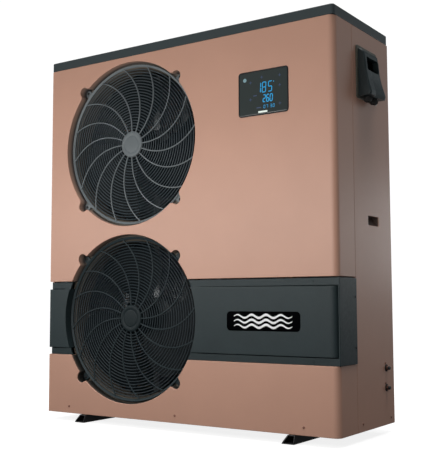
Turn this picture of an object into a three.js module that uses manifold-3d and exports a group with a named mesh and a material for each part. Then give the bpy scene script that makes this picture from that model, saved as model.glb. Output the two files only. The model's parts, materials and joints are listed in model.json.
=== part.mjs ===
// Two-fan pool heat pump in a tall sheet-metal cabinet.
// Millimetres, +Z up. The fan side faces -Y, and +X is to the right seen from the fan side.
// Pieces are placed in the cabinet frame: x from the left side, y back from the front skin and
// z up from the ground. The exported group moves the origin to the centre of the footprint.

import * as THREE from "three";
import { mergeVertices } from "three/addons/utils/BufferGeometryUtils.js";
import Module from "manifold-3d";

const wasm = await Module();
wasm.setup();

// ---------------------------------------------------------------- driving dimensions

const CABINET_W = 1115;
const CABINET_D = 386;
const PANEL_H = 1199; // side and front skins, from the cabinet underside to the lid
const LID_H = 31;
const FOOT_H = 26;
const SHEET = 2;
const GAP = 0.3; // clearance between neighbouring pieces
const TUBE_GAP = 1.2; // a bent tube's end tilts a little, so it keeps more than GAP

const CORNER_R = 20; // front right corner of the skin
const FRONT_RETURN = 118; // depth of the front skin's return along the right side
const LEFT_RETURN = 12;

const BAND_LOW = 197; // heights above the cabinet underside
const BAND_HIGH = 446;
const COVER_LOW = 220;
const COVER_HIGH = 420;
const RAIL_INSET = 5;
const RAIL_T = 3;
const WRAP_PROUD = 3; // the band's wrap stands off the right side by this

const FAN_X = 351;
const FAN_HEIGHTS = { upper: 902.5, lower: 322 };
const OPENING_R = 276;
const LOBE_R = 18;
const LOBE_AT = 282;
const COLLAR_D = 30;

const FOOT_SPREAD = 400; // foot centre lines to the cabinet's middle
const FOOT_W = 42;
const FOOT_TOP_W = 25;
const FOOT_PROUD = 13; // the feet stand ahead of the skin by this

const HOOD_OUT = 46; // terminal cover's nose, off the right side
const UNION_OUT = 55; // water unions, off the rear skin
const UNION_X = 1010;
const UNION_HEIGHTS = { in: 150, out: 450 };
const PIPE_OD = 50; // pool pipe that glues into each union

const PAN_LIP = 40;
const PARTITION_X = 700;

const FLOOR = FOOT_H;
const PANEL_TOP = FLOOR + PANEL_H;
const TOP = PANEL_TOP + LID_H;
const PAN_TOP = FLOOR + SHEET;

// ---------------------------------------------------------------- shape helpers

// A closed geometry as a manifold solid facing out.
function solidFrom(geometry) {
  const bare = new THREE.BufferGeometry();
  bare.setAttribute("position", geometry.getAttribute("position"));
  if (geometry.index) bare.setIndex(geometry.index);
  const merged = mergeVertices(bare, 1e-3);
  const corners = merged.index.array;
  const triVerts = [];
  for (let i = 0; i < corners.length; i += 3) {
    const [a, b, c] = [corners[i], corners[i + 1], corners[i + 2]];
    if (a !== b && b !== c && c !== a) triVerts.push(a, b, c);
  }
  return new wasm.Manifold(
    new wasm.Mesh({
      numProp: 3,
      vertProperties: merged.attributes.position.array,
      triVerts: new Uint32Array(triVerts),
    }),
  );
}

function geometryFrom(solid) {
  const mesh = solid.getMesh();
  const geometry = new THREE.BufferGeometry();
  geometry.setAttribute("position", new THREE.BufferAttribute(mesh.vertProperties, 3));
  geometry.setIndex(new THREE.BufferAttribute(mesh.triVerts, 1));
  geometry.computeVertexNormals();
  return geometry;
}

const join = (...solids) => solids.reduce((whole, next) => whole.add(next));
const cut = (solid, ...tools) => tools.reduce((left, tool) => left.subtract(tool), solid);

function box([x0, x1], [y0, y1], [z0, z1]) {
  const geometry = new THREE.BoxGeometry(x1 - x0, y1 - y0, z1 - z0);
  geometry.translate((x0 + x1) / 2, (y0 + y1) / 2, (z0 + z1) / 2);
  return solidFrom(geometry);
}

function cylinderX(radius, [x0, x1], y, z, segments = 24) {
  const geometry = new THREE.CylinderGeometry(radius, radius, x1 - x0, segments);
  geometry.rotateZ(-Math.PI / 2).translate((x0 + x1) / 2, y, z);
  return solidFrom(geometry);
}

function cylinderY(radius, x, [y0, y1], z, segments = 24) {
  const geometry = new THREE.CylinderGeometry(radius, radius, y1 - y0, segments);
  return solidFrom(geometry.translate(x, (y0 + y1) / 2, z));
}

function cylinderZ(radius, x, y, [z0, z1], segments = 24) {
  const geometry = new THREE.CylinderGeometry(radius, radius, z1 - z0, segments);
  geometry.rotateX(Math.PI / 2).translate(x, y, (z0 + z1) / 2);
  return solidFrom(geometry);
}

const toVectors = (pairs) => pairs.map(([a, b]) => new THREE.Vector2(a, b));
const polygon = (pairs) => new THREE.Shape(toVectors(pairs));

// A plan outline (x, y) raised from z0 to z1.
function raised(shape, [z0, z1], curveSegments = 3) {
  const options = { depth: z1 - z0, bevelEnabled: false, curveSegments };
  return solidFrom(new THREE.ExtrudeGeometry(shape, options).translate(0, 0, z0));
}

// A front outline (x, z) carried back from y0 to y1.
function carriedBack(shape, [y0, y1], curveSegments = 3) {
  const options = { depth: y1 - y0, bevelEnabled: false, curveSegments };
  const geometry = new THREE.ExtrudeGeometry(shape, options);
  return solidFrom(geometry.rotateX(Math.PI / 2).translate(0, y1, 0));
}

// A profile of [radius, height] pairs turned about a vertical axis.
function turnedZ(pairs, x, y, z, segments = 20) {
  const geometry = new THREE.LatheGeometry(toVectors(pairs), segments);
  return solidFrom(geometry.rotateX(Math.PI / 2).translate(x, y, z));
}

// A profile of [radius, depth] pairs turned about an axis that runs back.
function turnedY(pairs, x, z, segments = 20) {
  const geometry = new THREE.LatheGeometry(toVectors(pairs), segments);
  return solidFrom(geometry.translate(x, 0, z));
}

const closed = (pairs) => [...pairs, pairs[0]];

function roundedRect([x0, x1], [y0, y1], radius) {
  const shape = new THREE.Shape();
  shape.moveTo(x0 + radius, y0);
  shape.absarc(x1 - radius, y0 + radius, radius, -Math.PI / 2, 0);
  shape.absarc(x1 - radius, y1 - radius, radius, 0, Math.PI / 2);
  shape.absarc(x0 + radius, y1 - radius, radius, Math.PI / 2, Math.PI);
  shape.absarc(x0 + radius, y0 + radius, radius, Math.PI, 1.5 * Math.PI);
  return shape;
}

// A bent tube through a list of points.
function bentTube(points, radius, steps = 16) {
  const section = new THREE.Shape().absarc(0, 0, radius, 0, 2 * Math.PI);
  const vectors = points.map((p) => new THREE.Vector3(...p));
  const extrudePath = new THREE.CatmullRomCurve3(vectors, false, "catmullrom", 0.25);
  const options = { steps, extrudePath, curveSegments: 4, bevelEnabled: false };
  return solidFrom(new THREE.ExtrudeGeometry(section, options));
}

// ---------------------------------------------------------------- materials and the group

const unit = new THREE.Group();

const PAINT = {
  copper: { color: 0xc69c87, roughness: 0.45, metalness: 0.35 },
  anthracite: { color: 0x384446, roughness: 0.5, metalness: 0.1 },
  black: { color: 0x101214, roughness: 0.45, metalness: 0 },
  glass: { color: 0x050608, roughness: 0.08, metalness: 0 },
  grille: { color: 0x4a4f52, roughness: 0.5, metalness: 0.1 },
  zinc: { color: 0xa8acae, roughness: 0.4, metalness: 0.9 },
  fins: { color: 0xb9bec2, roughness: 0.35, metalness: 0.9 },
  tube: { color: 0xb4683c, roughness: 0.3, metalness: 1 },
  brass: { color: 0xb08d4a, roughness: 0.35, metalness: 1 },
  rubber: { color: 0x1a1a1a, roughness: 0.9, metalness: 0 },
  pvc: { color: 0x6a7074, roughness: 0.5, metalness: 0 },
  board: { color: 0x1f5a3a, roughness: 0.6, metalness: 0 },
};

function add(name, solid, paint) {
  const mesh = new THREE.Mesh(geometryFrom(solid), new THREE.MeshStandardMaterial(paint));
  mesh.name = name;
  unit.add(mesh);
}

// ---------------------------------------------------------------- fan openings

const fanZ = (fan) => FLOOR + FAN_HEIGHTS[fan];
const DIAGONALS = [1, 3, 5, 7].map((n) => (n * Math.PI) / 4);

// The round opening with four lobes, grown by a wall.
function fanOpening(fan, depths, wall = 0) {
  let opening = cylinderY(OPENING_R + wall, FAN_X, depths, fanZ(fan), 48);
  for (const angle of DIAGONALS) {
    const x = FAN_X + LOBE_AT * Math.cos(angle);
    const z = fanZ(fan) + LOBE_AT * Math.sin(angle);
    opening = opening.add(cylinderY(LOBE_R + wall, x, depths, z, 10));
  }
  return opening;
}

// Adds the inward collars to a front piece, opens them, and keeps one height range.
function withCollars(front, fans, heights, widths = [-10, CABINET_W + 10]) {
  let piece = front;
  for (const fan of fans) piece = piece.add(fanOpening(fan, [0, COLLAR_D], SHEET));
  for (const fan of fans) piece = piece.subtract(fanOpening(fan, [-5, COLLAR_D + 5]));
  return piece.intersect(box(widths, [-10, CABINET_D + 10], heights));
}

// ---------------------------------------------------------------- cabinet skins

// Plan outline of the front skin: left return, flat front, round corner, right return.
function frontSkinOutline() {
  const inner = CABINET_W - SHEET;
  const centre = CABINET_W - CORNER_R;
  const shape = new THREE.Shape();
  shape.moveTo(0, LEFT_RETURN);
  shape.lineTo(0, 0);
  shape.absarc(centre, CORNER_R, CORNER_R, -Math.PI / 2, 0);
  shape.lineTo(CABINET_W, FRONT_RETURN);
  shape.lineTo(inner, FRONT_RETURN);
  shape.absarc(centre, CORNER_R, CORNER_R - SHEET, 0, -Math.PI / 2, true);
  shape.lineTo(SHEET, SHEET);
  shape.lineTo(SHEET, LEFT_RETURN);
  return shape;
}

const DISPLAY_X = [792, 966];
const DISPLAY_Z = [FLOOR + 932, FLOOR + 1070];
const grown = ([low, high], by) => [low - by, high + by];

function upperFrontPanel() {
  const heights = [FLOOR + BAND_HIGH + GAP, PANEL_TOP - GAP];
  const window = roundedRect(grown(DISPLAY_X, -2), grown(DISPLAY_Z, -2), 8);
  const skin = raised(frontSkinOutline(), heights);
  const framed = withCollars(skin, ["upper", "lower"], heights);
  return cut(framed, carriedBack(window, [-5, 10]));
}

function lowerFrontPanel() {
  const heights = [FLOOR, FLOOR + BAND_LOW - GAP];
  return withCollars(raised(frontSkinOutline(), heights), ["lower"], heights);
}

add("upper_front_panel", upperFrontPanel(), PAINT.copper);
add("lower_front_panel", lowerFrontPanel(), PAINT.copper);

// Right side skin with its rear return, the cable opening and the pressed hand grip.
const GRIP = { y: [214, 291], z: [FLOOR + 604, FLOOR + 633], depth: 12 };
const HOOD_Y = [150, 258];
const CABLE_HOLE = { y: [165, 243], z: [FLOOR + 1012, FLOOR + 1062] };
const PORT_Y = 326;
const PORT_HEIGHTS = [112, 172];

function rightSidePanel() {
  const front = FRONT_RETURN + GAP;
  const inner = CABINET_W - SHEET;
  const heights = [FLOOR, PANEL_TOP - GAP];
  const outline = polygon([
    [inner, front],
    [CABINET_W, front],
    [CABINET_W, CABINET_D],
    [CABINET_W - 30, CABINET_D],
    [CABINET_W - 30, CABINET_D - SHEET],
    [inner, CABINET_D - SHEET],
  ]);
  const cup = box(
    [CABINET_W - GRIP.depth - SHEET, CABINET_W - 1],
    grown(GRIP.y, SHEET),
    grown(GRIP.z, SHEET),
  );
  const recess = box([CABINET_W - GRIP.depth, CABINET_W + 5], GRIP.y, GRIP.z);
  const cableHole = box([inner - 5, CABINET_W + 5], CABLE_HOLE.y, CABLE_HOLE.z);
  const portHoles = PORT_HEIGHTS.map((height) =>
    cylinderX(9 + GAP, [inner - 5, CABINET_W + 5], PORT_Y, FLOOR + height, 16),
  );
  return cut(join(raised(outline, heights), cup), recess, cableHole, ...portHoles);
}

add("right_side_panel", rightSidePanel(), PAINT.copper);

// Left side skin: louvre slots let air into the coil's short leg.
const LOUVRE = { y: [75, 331], height: 18, first: 90, pitch: 60, count: 18 };

function leftSidePanel() {
  const front = LEFT_RETURN + GAP;
  const outline = polygon([
    [0, front],
    [SHEET, front],
    [SHEET, CABINET_D - SHEET],
    [25, CABINET_D - SHEET],
    [25, CABINET_D],
    [0, CABINET_D],
  ]);
  let panel = raised(outline, [FLOOR, PANEL_TOP - GAP]);
  for (let row = 0; row < LOUVRE.count; row += 1) {
    const z = FLOOR + LOUVRE.first + row * LOUVRE.pitch;
    panel = panel.subtract(box([-5, SHEET + 5], LOUVRE.y, [z, z + LOUVRE.height]));
  }
  return panel;
}

add("left_side_panel", leftSidePanel(), PAINT.copper);

const unionZ = (end) => FLOOR + UNION_HEIGHTS[end];
const UNION_HOLE_R = 30;

function rearPanel() {
  const widths = [PARTITION_X + GAP, CABINET_W - 30 - GAP];
  const plate = box(widths, [CABINET_D - SHEET, CABINET_D], [FLOOR, PANEL_TOP - GAP]);
  const holes = Object.keys(UNION_HEIGHTS).map((end) =>
    cylinderY(UNION_HOLE_R, UNION_X, [CABINET_D - 10, CABINET_D + 10], unionZ(end), 32),
  );
  return cut(plate, ...holes);
}

add("rear_panel", rearPanel(), PAINT.copper);

// Open guard over the coil's long leg.
const GUARD = { columns: 2, rows: 12, border: 22, bar: 8 };

function rearCoilGuard() {
  const [left, right] = [25 + GAP, PARTITION_X];
  const [low, high] = [FLOOR, PANEL_TOP - GAP];
  const depths = [CABINET_D - SHEET, CABINET_D];
  const stepX = (right - left - 2 * GUARD.border + GUARD.bar) / GUARD.columns;
  const stepZ = (high - low - 2 * GUARD.border + GUARD.bar) / GUARD.rows;
  let guard = box([left, right], depths, [low, high]);
  for (let column = 0; column < GUARD.columns; column += 1) {
    for (let row = 0; row < GUARD.rows; row += 1) {
      const x = left + GUARD.border + column * stepX;
      const z = low + GUARD.border + row * stepZ;
      const widths = [x, x + stepX - GUARD.bar];
      const heights = [z, z + stepZ - GUARD.bar];
      guard = guard.subtract(box(widths, grown(depths, 5), heights));
    }
  }
  return guard;
}

add("rear_coil_guard", rearCoilGuard(), PAINT.grille);

// Cabinet plan drawn in by an inset: only the front right corner is rounded.
function planOutline(inset) {
  const [x0, x1] = [inset, CABINET_W - inset];
  const [y0, y1] = [inset, CABINET_D - inset];
  const radius = CORNER_R - inset;
  const shape = new THREE.Shape();
  shape.moveTo(x0, y0);
  shape.lineTo(x1 - radius, y0);
  shape.absarc(x1 - radius, y0 + radius, radius, -Math.PI / 2, 0);
  shape.lineTo(x1, y1);
  shape.lineTo(x0, y1);
  return shape;
}

// Lid: a shallow pressing with a soft top edge.
const LID_EDGE_R = 4;

function topCover() {
  const geometry = new THREE.ExtrudeGeometry(planOutline(LID_EDGE_R), {
    depth: 2 * LID_H,
    bevelThickness: LID_EDGE_R,
    bevelSize: LID_EDGE_R,
    bevelSegments: 2,
    curveSegments: 4,
  });
  geometry.translate(0, 0, TOP - LID_EDGE_R - 2 * LID_H);
  const wide = [-5, CABINET_W + 5];
  const deep = [-5, CABINET_D + 5];
  const block = solidFrom(geometry).intersect(box(wide, deep, [PANEL_TOP, TOP + 5]));
  return cut(block, raised(planOutline(SHEET), [PANEL_TOP - 5, TOP - LID_EDGE_R]));
}

add("top_cover", topCover(), PAINT.anthracite);

// ---------------------------------------------------------------- dark band

const BAND_Z = [FLOOR + BAND_LOW, FLOOR + BAND_HIGH];
const COVER_Z = [FLOOR + COVER_LOW, FLOOR + COVER_HIGH];
const COVER_END_R = 14;

function bandChannel(outline) {
  const clearance = fanOpening("lower", [-5, COLLAR_D + 10], SHEET + GAP);
  return cut(raised(polygon(outline), BAND_Z), clearance);
}

const railBack = RAIL_INSET + RAIL_T;
const bandChannelLeft = bandChannel([
  [1.5, LEFT_RETURN],
  [1.5, RAIL_INSET],
  [FAN_X - 100, RAIL_INSET],
  [FAN_X - 100, railBack],
  [1.5 + RAIL_T, railBack],
  [1.5 + RAIL_T, LEFT_RETURN],
]);
const bandChannelRight = bandChannel([
  [FAN_X + 100, RAIL_INSET],
  [CABINET_W + WRAP_PROUD, RAIL_INSET],
  [CABINET_W + WRAP_PROUD, FRONT_RETURN],
  [CABINET_W, FRONT_RETURN],
  [CABINET_W, railBack],
  [FAN_X + 100, railBack],
]);
add("band_channel_left", bandChannelLeft, PAINT.anthracite);
add("band_channel_right", bandChannelRight, PAINT.anthracite);

// The raised cover between the rails; its far end curves back towards the wrap.
function bandCover() {
  const end = CABINET_W - 6;
  const shape = new THREE.Shape();
  shape.moveTo(0, COVER_END_R);
  shape.lineTo(0, 0);
  shape.absarc(end - COVER_END_R, COVER_END_R, COVER_END_R, -Math.PI / 2, 0);
  const depths = [-1, RAIL_INSET - GAP];
  const slab = raised(shape, COVER_Z, 8);
  return slab.intersect(box([-5, CABINET_W], depths, grown(COVER_Z, 5)));
}

const BADGE_X = [745, 996];
const BADGE_Z = [FLOOR + 290, FLOOR + 347];
const BADGE_R = 12;
const BADGE_SINK = 1;

function bandCoverPiece(widths) {
  const piece = withCollars(bandCover(), ["lower"], COVER_Z, widths);
  const seat = roundedRect(grown(BADGE_X, GAP), grown(BADGE_Z, GAP), BADGE_R + GAP);
  return cut(piece, carriedBack(seat, [-5, BADGE_SINK]));
}

add("band_cover_left", bandCoverPiece([-5, FAN_X]), PAINT.anthracite);
add("band_cover_right", bandCoverPiece([FAN_X, CABINET_W]), PAINT.anthracite);

const badgeOutline = roundedRect(BADGE_X, BADGE_Z, BADGE_R);
add("badge_plate", carriedBack(badgeOutline, [-1, BADGE_SINK - GAP]), PAINT.black);

// ---------------------------------------------------------------- base, feet, partition

const DRAIN = { x: 420, y: 200, bore: 8, wall: 3 };

function basePan() {
  const outer = SHEET + GAP;
  const tray = raised(planOutline(outer), [FLOOR, FLOOR + PAN_LIP]);
  const inside = raised(planOutline(outer + SHEET), [PAN_TOP, FLOOR + PAN_LIP + 5]);
  const drainR = DRAIN.bore + DRAIN.wall + GAP;
  const drain = cylinderZ(drainR, DRAIN.x, DRAIN.y, [FLOOR - 5, PAN_TOP + 5]);
  return cut(tray, inside, drain);
}

add("base_pan", basePan(), PAINT.zinc);

function drainSpout() {
  const outer = DRAIN.bore + DRAIN.wall;
  const profile = closed([
    [DRAIN.bore, -20],
    [outer, -20],
    [outer, -4],
    [outer + 9, -4],
    [outer + 9, -GAP],
    [outer, -GAP],
    [outer, SHEET],
    [DRAIN.bore, SHEET],
  ]);
  return turnedZ(profile, DRAIN.x, DRAIN.y, FLOOR, 12);
}

add("drain_spout", drainSpout(), PAINT.black);

// A foot is a pressed tube with one sloped side and ends that slope under the cabinet.
function foot(centre) {
  const [left, right] = [centre - FOOT_W / 2, centre + FOOT_W / 2];
  const topLeft = right - FOOT_TOP_W;
  const top = FLOOR - GAP;
  const wall = 3;
  const section = polygon([
    [left, 0],
    [right, 0],
    [right, top],
    [topLeft, top],
  ]);
  const hollow = polygon([
    [left + 2.6 * wall, wall],
    [right - wall, wall],
    [right - wall, top - wall],
    [topLeft + wall, top - wall],
  ]);
  const depths = [-FOOT_PROUD, CABINET_D + FOOT_PROUD];
  const rail = cut(carriedBack(section, depths), carriedBack(hollow, grown(depths, 5)));
  const side = new THREE.Shape(
    toVectors([
      [-FOOT_PROUD, 8],
      [-FOOT_PROUD + 9, FLOOR + 5],
      [-FOOT_PROUD - 20, FLOOR + 5],
      [-FOOT_PROUD - 20, 8],
    ]),
  );
  const options = { depth: FOOT_W + 20, bevelEnabled: false };
  const axes = new THREE.Matrix4().makeBasis(
    new THREE.Vector3(0, 1, 0),
    new THREE.Vector3(0, 0, 1),
    new THREE.Vector3(1, 0, 0),
  );
  const frontWedge = new THREE.ExtrudeGeometry(side, options).applyMatrix4(axes);
  frontWedge.translate(left - 10, 0, 0);
  const rearWedge = frontWedge.clone().rotateZ(Math.PI);
  rearWedge.translate(2 * centre, CABINET_D, 0);
  return cut(rail, solidFrom(frontWedge), solidFrom(rearWedge));
}

add("foot_left", foot(CABINET_W / 2 - FOOT_SPREAD), PAINT.black);
add("foot_right", foot(CABINET_W / 2 + FOOT_SPREAD), PAINT.black);

const COIL_T = 35;
const COIL_REAR = CABINET_D - 6;
const COIL_FRONT = COIL_REAR - COIL_T;
const CONTENTS_TOP = PANEL_TOP - 8;
const PIPE_HOLE = { y: 322, z: FLOOR + 300, r: 14 };

function partitionPlate() {
  const half = SHEET / 2;
  const widths = [PARTITION_X - half, PARTITION_X + half];
  const plate = box(widths, [30, COIL_FRONT - 2], [PAN_TOP + GAP, CONTENTS_TOP]);
  const ends = grown(widths, 5);
  return cut(plate, cylinderX(PIPE_HOLE.r, ends, PIPE_HOLE.y, PIPE_HOLE.z, 16));
}

add("partition_plate", partitionPlate(), PAINT.zinc);

// ---------------------------------------------------------------- fans

const GRILLE = { hubR: 44, rimIn: 259, rimOut: 270, spokes: 16, spokeW: 4, sweep: 30.5 };
const GRILLE_RINGS = [118, 190];
const GRILLE_Y = { hub: 18, ring: 20, spoke: 21.5, back: 26, tab: 28.5 };

function ring(inner, outer, [y0, y1], z, segments) {
  const profile = closed([
    [inner, y0],
    [outer, y0],
    [outer, y1],
    [inner, y1],
  ]);
  return turnedY(profile, FAN_X, z, segments);
}

// One guard spoke: it leaves the hub square and sweeps round more and more towards the rim.
function grilleSpoke(index, z) {
  const start = (index * 2 * Math.PI) / GRILLE.spokes;
  const reach = GRILLE.rimIn + 3 - GRILLE.hubR;
  const steps = 4;
  const edge = (side) =>
    Array.from({ length: steps + 1 }, (_, i) => {
      const share = i / steps;
      const radius = GRILLE.hubR - 2 + share * (reach + 2);
      const sweep = THREE.MathUtils.degToRad(GRILLE.sweep * share ** 1.55);
      const angle = start + sweep + (side * GRILLE.spokeW) / 2 / radius;
      return [FAN_X + radius * Math.cos(angle), z + radius * Math.sin(angle)];
    });
  const outline = [...edge(-1), ...edge(1).reverse()];
  return carriedBack(polygon(outline), [GRILLE_Y.spoke, GRILLE_Y.back]);
}

function grille(fan) {
  const z = fanZ(fan);
  let guard = ring(GRILLE.rimIn, GRILLE.rimOut, [GRILLE_Y.ring, GRILLE_Y.tab], z, 36);
  guard = guard.add(cylinderY(GRILLE.hubR, FAN_X, [GRILLE_Y.hub, GRILLE_Y.back], z, 24));
  for (const radius of GRILLE_RINGS) {
    const depths = [GRILLE_Y.ring, GRILLE_Y.spoke + 1];
    guard = guard.add(ring(radius - 1.5, radius + 1.5, depths, z, 24));
  }
  for (let i = 0; i < GRILLE.spokes; i += 1) guard = guard.add(grilleSpoke(i, z));
  for (const angle of DIAGONALS) {
    const x = FAN_X + (LOBE_AT - 3) * Math.cos(angle);
    const tabZ = z + (LOBE_AT - 3) * Math.sin(angle);
    guard = guard.add(cylinderY(12, x, [GRILLE_Y.back, GRILLE_Y.tab], tabZ, 12));
  }
  return guard;
}

const SHROUD = { bore: 256, wall: 3, flangeR: 286, front: COLLAR_D + 1, back: 95 };

function fanShroud(fan) {
  const { bore, wall, flangeR, front, back } = SHROUD;
  const profile = closed([
    [bore, front],
    [flangeR, front],
    [flangeR, front + wall],
    [bore + wall, front + wall],
    [bore + wall, back],
    [bore, back],
  ]);
  return turnedY(profile, FAN_X, fanZ(fan), 36);
}

const ROTOR = { hubR: 60, tipR: 246, front: 42, back: 104, blades: 3, pitch: 52, bladeT: 3 };
const SHAFT_R = 6;

// A wide fan blade: a flat outline between hub and tip, then pitched along the axis.
function fanBlade(mid, z) {
  const rootHalf = 0.62;
  const tipHalf = 0.72;
  const lead = 0.3;
  const rootR = ROTOR.hubR - 6;
  const at = (radius, angle) => [radius * Math.cos(angle), radius * Math.sin(angle)];
  const middleR = (rootR + ROTOR.tipR) / 2;
  const shape = new THREE.Shape();
  shape.moveTo(...at(rootR, mid - rootHalf));
  shape.quadraticCurveTo(
    ...at(middleR, mid - rootHalf - 0.05),
    ...at(ROTOR.tipR, mid - tipHalf + lead),
  );
  shape.absarc(0, 0, ROTOR.tipR, mid - tipHalf + lead, mid + tipHalf + lead);
  shape.quadraticCurveTo(...at(middleR, mid + tipHalf), ...at(rootR, mid + rootHalf));
  const options = { depth: ROTOR.bladeT, bevelEnabled: false, curveSegments: 5 };
  const geometry = new THREE.ExtrudeGeometry(shape, options);
  const places = geometry.getAttribute("position");
  for (let i = 0; i < places.count; i += 1) {
    const turn = Math.atan2(places.getY(i), places.getX(i)) - mid;
    const wrapped = Math.atan2(Math.sin(turn), Math.cos(turn));
    places.setZ(i, places.getZ(i) + (ROTOR.pitch * wrapped) / (2 * tipHalf));
  }
  const middleY = (ROTOR.front + ROTOR.back) / 2 + ROTOR.bladeT / 2;
  return solidFrom(geometry.rotateX(Math.PI / 2).translate(FAN_X, middleY, z));
}

function fanRotor(fan) {
  const z = fanZ(fan);
  const { hubR, front, back, blades } = ROTOR;
  const profile = [
    [0, front],
    [hubR * 0.6, front],
    [hubR - 4, front + 6],
    [hubR, front + 16],
    [hubR, back],
    [0, back],
  ];
  let rotor = turnedY(profile, FAN_X, z, 24);
  for (let i = 0; i < blades; i += 1) {
    rotor = rotor.add(fanBlade((i * 2 * Math.PI) / blades + Math.PI / 2, z));
  }
  return cut(rotor, cylinderY(SHAFT_R + GAP, FAN_X, [front - 5, back + 5], z, 12));
}

const MOTOR = { r: 70, bossR: 30, boss: 130, front: 146, back: 236, socket: 26 };

// The shaft carries the hub's nut in front and runs into the motor behind.
function fanShaft(fan) {
  const nutR = 12;
  const profile = [
    [0, ROTOR.front - 14],
    [SHAFT_R, ROTOR.front - 14],
    [SHAFT_R, ROTOR.front - 10],
    [nutR, ROTOR.front - 10],
    [nutR, ROTOR.front - GAP],
    [SHAFT_R, ROTOR.front - GAP],
    [SHAFT_R, MOTOR.boss + MOTOR.socket - 2],
    [0, MOTOR.boss + MOTOR.socket - 2],
  ];
  return turnedY(profile, FAN_X, fanZ(fan), 12);
}

function fanMotor(fan) {
  const { r, bossR, boss, front, back, socket } = MOTOR;
  const profile = [
    [0, boss + socket],
    [SHAFT_R + 0.6, boss + socket],
    [SHAFT_R + 0.6, boss],
    [bossR, boss],
    [bossR, front],
    [r - 8, front],
    [r, front + 8],
    [r, back],
    [0, back],
  ];
  return turnedY(profile, FAN_X, fanZ(fan), 20);
}

for (const fan of ["upper", "lower"]) {
  add("grille_" + fan, grille(fan), PAINT.grille);
  add("fan_shroud_" + fan, fanShroud(fan), PAINT.black);
  add("fan_rotor_" + fan, fanRotor(fan), PAINT.black);
  add("fan_shaft_" + fan, fanShaft(fan), PAINT.zinc);
  add("fan_motor_" + fan, fanMotor(fan), PAINT.zinc);
}

// Two uprights from the pan to the lid, with a plate behind each motor.
function fanBracket() {
  const heights = [PAN_TOP + GAP, CONTENTS_TOP];
  const face = MOTOR.back + GAP;
  const depths = [face, face + 24];
  let bracket = box([FAN_X - 75, FAN_X - 50], depths, heights);
  bracket = bracket.add(box([FAN_X + 50, FAN_X + 75], depths, heights));
  for (const fan of ["upper", "lower"]) {
    const plate = box([FAN_X - 60, FAN_X + 60], [face, face + 3], grown([fanZ(fan), fanZ(fan)], 70));
    bracket = bracket.add(plate);
  }
  return bracket;
}

add("fan_bracket", fanBracket(), PAINT.zinc);

// ---------------------------------------------------------------- evaporator

// The coil runs along the back and bends round to the left side.
function evaporatorCoil() {
  const left = 10;
  const bendR = 70;
  const [cx, cy] = [left + bendR, COIL_REAR - bendR];
  const shape = new THREE.Shape();
  shape.moveTo(left + COIL_T, 40);
  shape.lineTo(left, 40);
  shape.absarc(cx, cy, bendR, Math.PI, Math.PI / 2, true);
  shape.lineTo(PARTITION_X, COIL_REAR);
  shape.lineTo(PARTITION_X, COIL_FRONT);
  shape.absarc(cx, cy, bendR - COIL_T, Math.PI / 2, Math.PI);
  return raised(shape, [PAN_TOP + 10, CONTENTS_TOP], 8);
}

add("evaporator_coil", evaporatorCoil(), PAINT.fins);

const HEADER = { x: 728, y: 366, r: 11, low: 150, high: 1090, feeds: 6 };

function gasHeader() {
  const { x, y, r, low, high, feeds } = HEADER;
  let header = cylinderZ(r, x, y, [FLOOR + low, FLOOR + high], 16);
  for (let i = 0; i < feeds; i += 1) {
    const z = FLOOR + low + 40 + (i * (high - low - 80)) / (feeds - 1);
    header = header.add(cylinderX(5, [PARTITION_X + GAP, x], y, z, 10));
  }
  return header;
}

add("gas_header", gasHeader(), PAINT.tube);

// Expansion valve with the brass cone that shares the liquid out brazed on top of it.
const SPLITTER = { x: 745, y: 312, z: PIPE_HOLE.z };
const EXPANSION = { x: SPLITTER.x, y: SPLITTER.y, z: SPLITTER.z - 70 };

function expansionValve() {
  const { x, y, z } = EXPANSION;
  const stem = cylinderZ(8, x, y, [z - 20, SPLITTER.z - 10], 12);
  const coil = cylinderZ(20, x, y, [z - 12, z + 24], 16);
  const cone = turnedZ(
    [
      [0, -18],
      [8, -18],
      [8, 0],
      [17, 18],
      [17, 26],
      [0, 26],
    ],
    SPLITTER.x,
    SPLITTER.y,
    SPLITTER.z,
    12,
  );
  const feeder = bentTube(
    [
      [SPLITTER.x, SPLITTER.y, SPLITTER.z + 20],
      [SPLITTER.x, SPLITTER.y + 6, SPLITTER.z + 60],
      [SPLITTER.x - 14, COIL_FRONT + 4, SPLITTER.z + 84],
      [PARTITION_X + TUBE_GAP, COIL_FRONT + 4, SPLITTER.z + 84],
    ],
    4,
    14,
  );
  return join(stem, coil, cone, feeder);
}

add("expansion_valve", expansionValve(), PAINT.brass);

// ---------------------------------------------------------------- refrigerant circuit

const COMPRESSOR = { x: 830, y: 190, r: 75, low: PAN_TOP + 26, height: 330 };
const FOOT_CIRCLE_R = 98;

const footPlace = (index) => {
  const angle = Math.PI / 6 + (index * 2 * Math.PI) / 3;
  return [
    COMPRESSOR.x + FOOT_CIRCLE_R * Math.cos(angle),
    COMPRESSOR.y + FOOT_CIRCLE_R * Math.sin(angle),
  ];
};

function compressor() {
  const { x, y, r, low, height } = COMPRESSOR;
  const can = turnedZ(
    [
      [0, 0],
      [r - 12, 0],
      [r, 12],
      [r, height - 30],
      [r - 10, height - 12],
      [r - 34, height - 2],
      [10, height],
      [10, height + 12],
      [0, height + 12],
    ],
    x,
    y,
    low,
  );
  let body = can;
  for (let i = 0; i < 3; i += 1) {
    const [footX, footY] = footPlace(i);
    const arm = new THREE.BoxGeometry(FOOT_CIRCLE_R, 34, 4);
    arm.translate(FOOT_CIRCLE_R / 2, 0, 4);
    arm.rotateZ(Math.atan2(footY - y, footX - x)).translate(x, y, low);
    body = join(body, solidFrom(arm), cylinderZ(17, footX, footY, [low + 2, low + 6], 16));
  }
  const holes = [0, 1, 2].map((i) => cylinderZ(7, ...footPlace(i), [low - 5, low + 15], 12));
  return cut(body, ...holes);
}

add("compressor", compressor(), PAINT.black);

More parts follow.
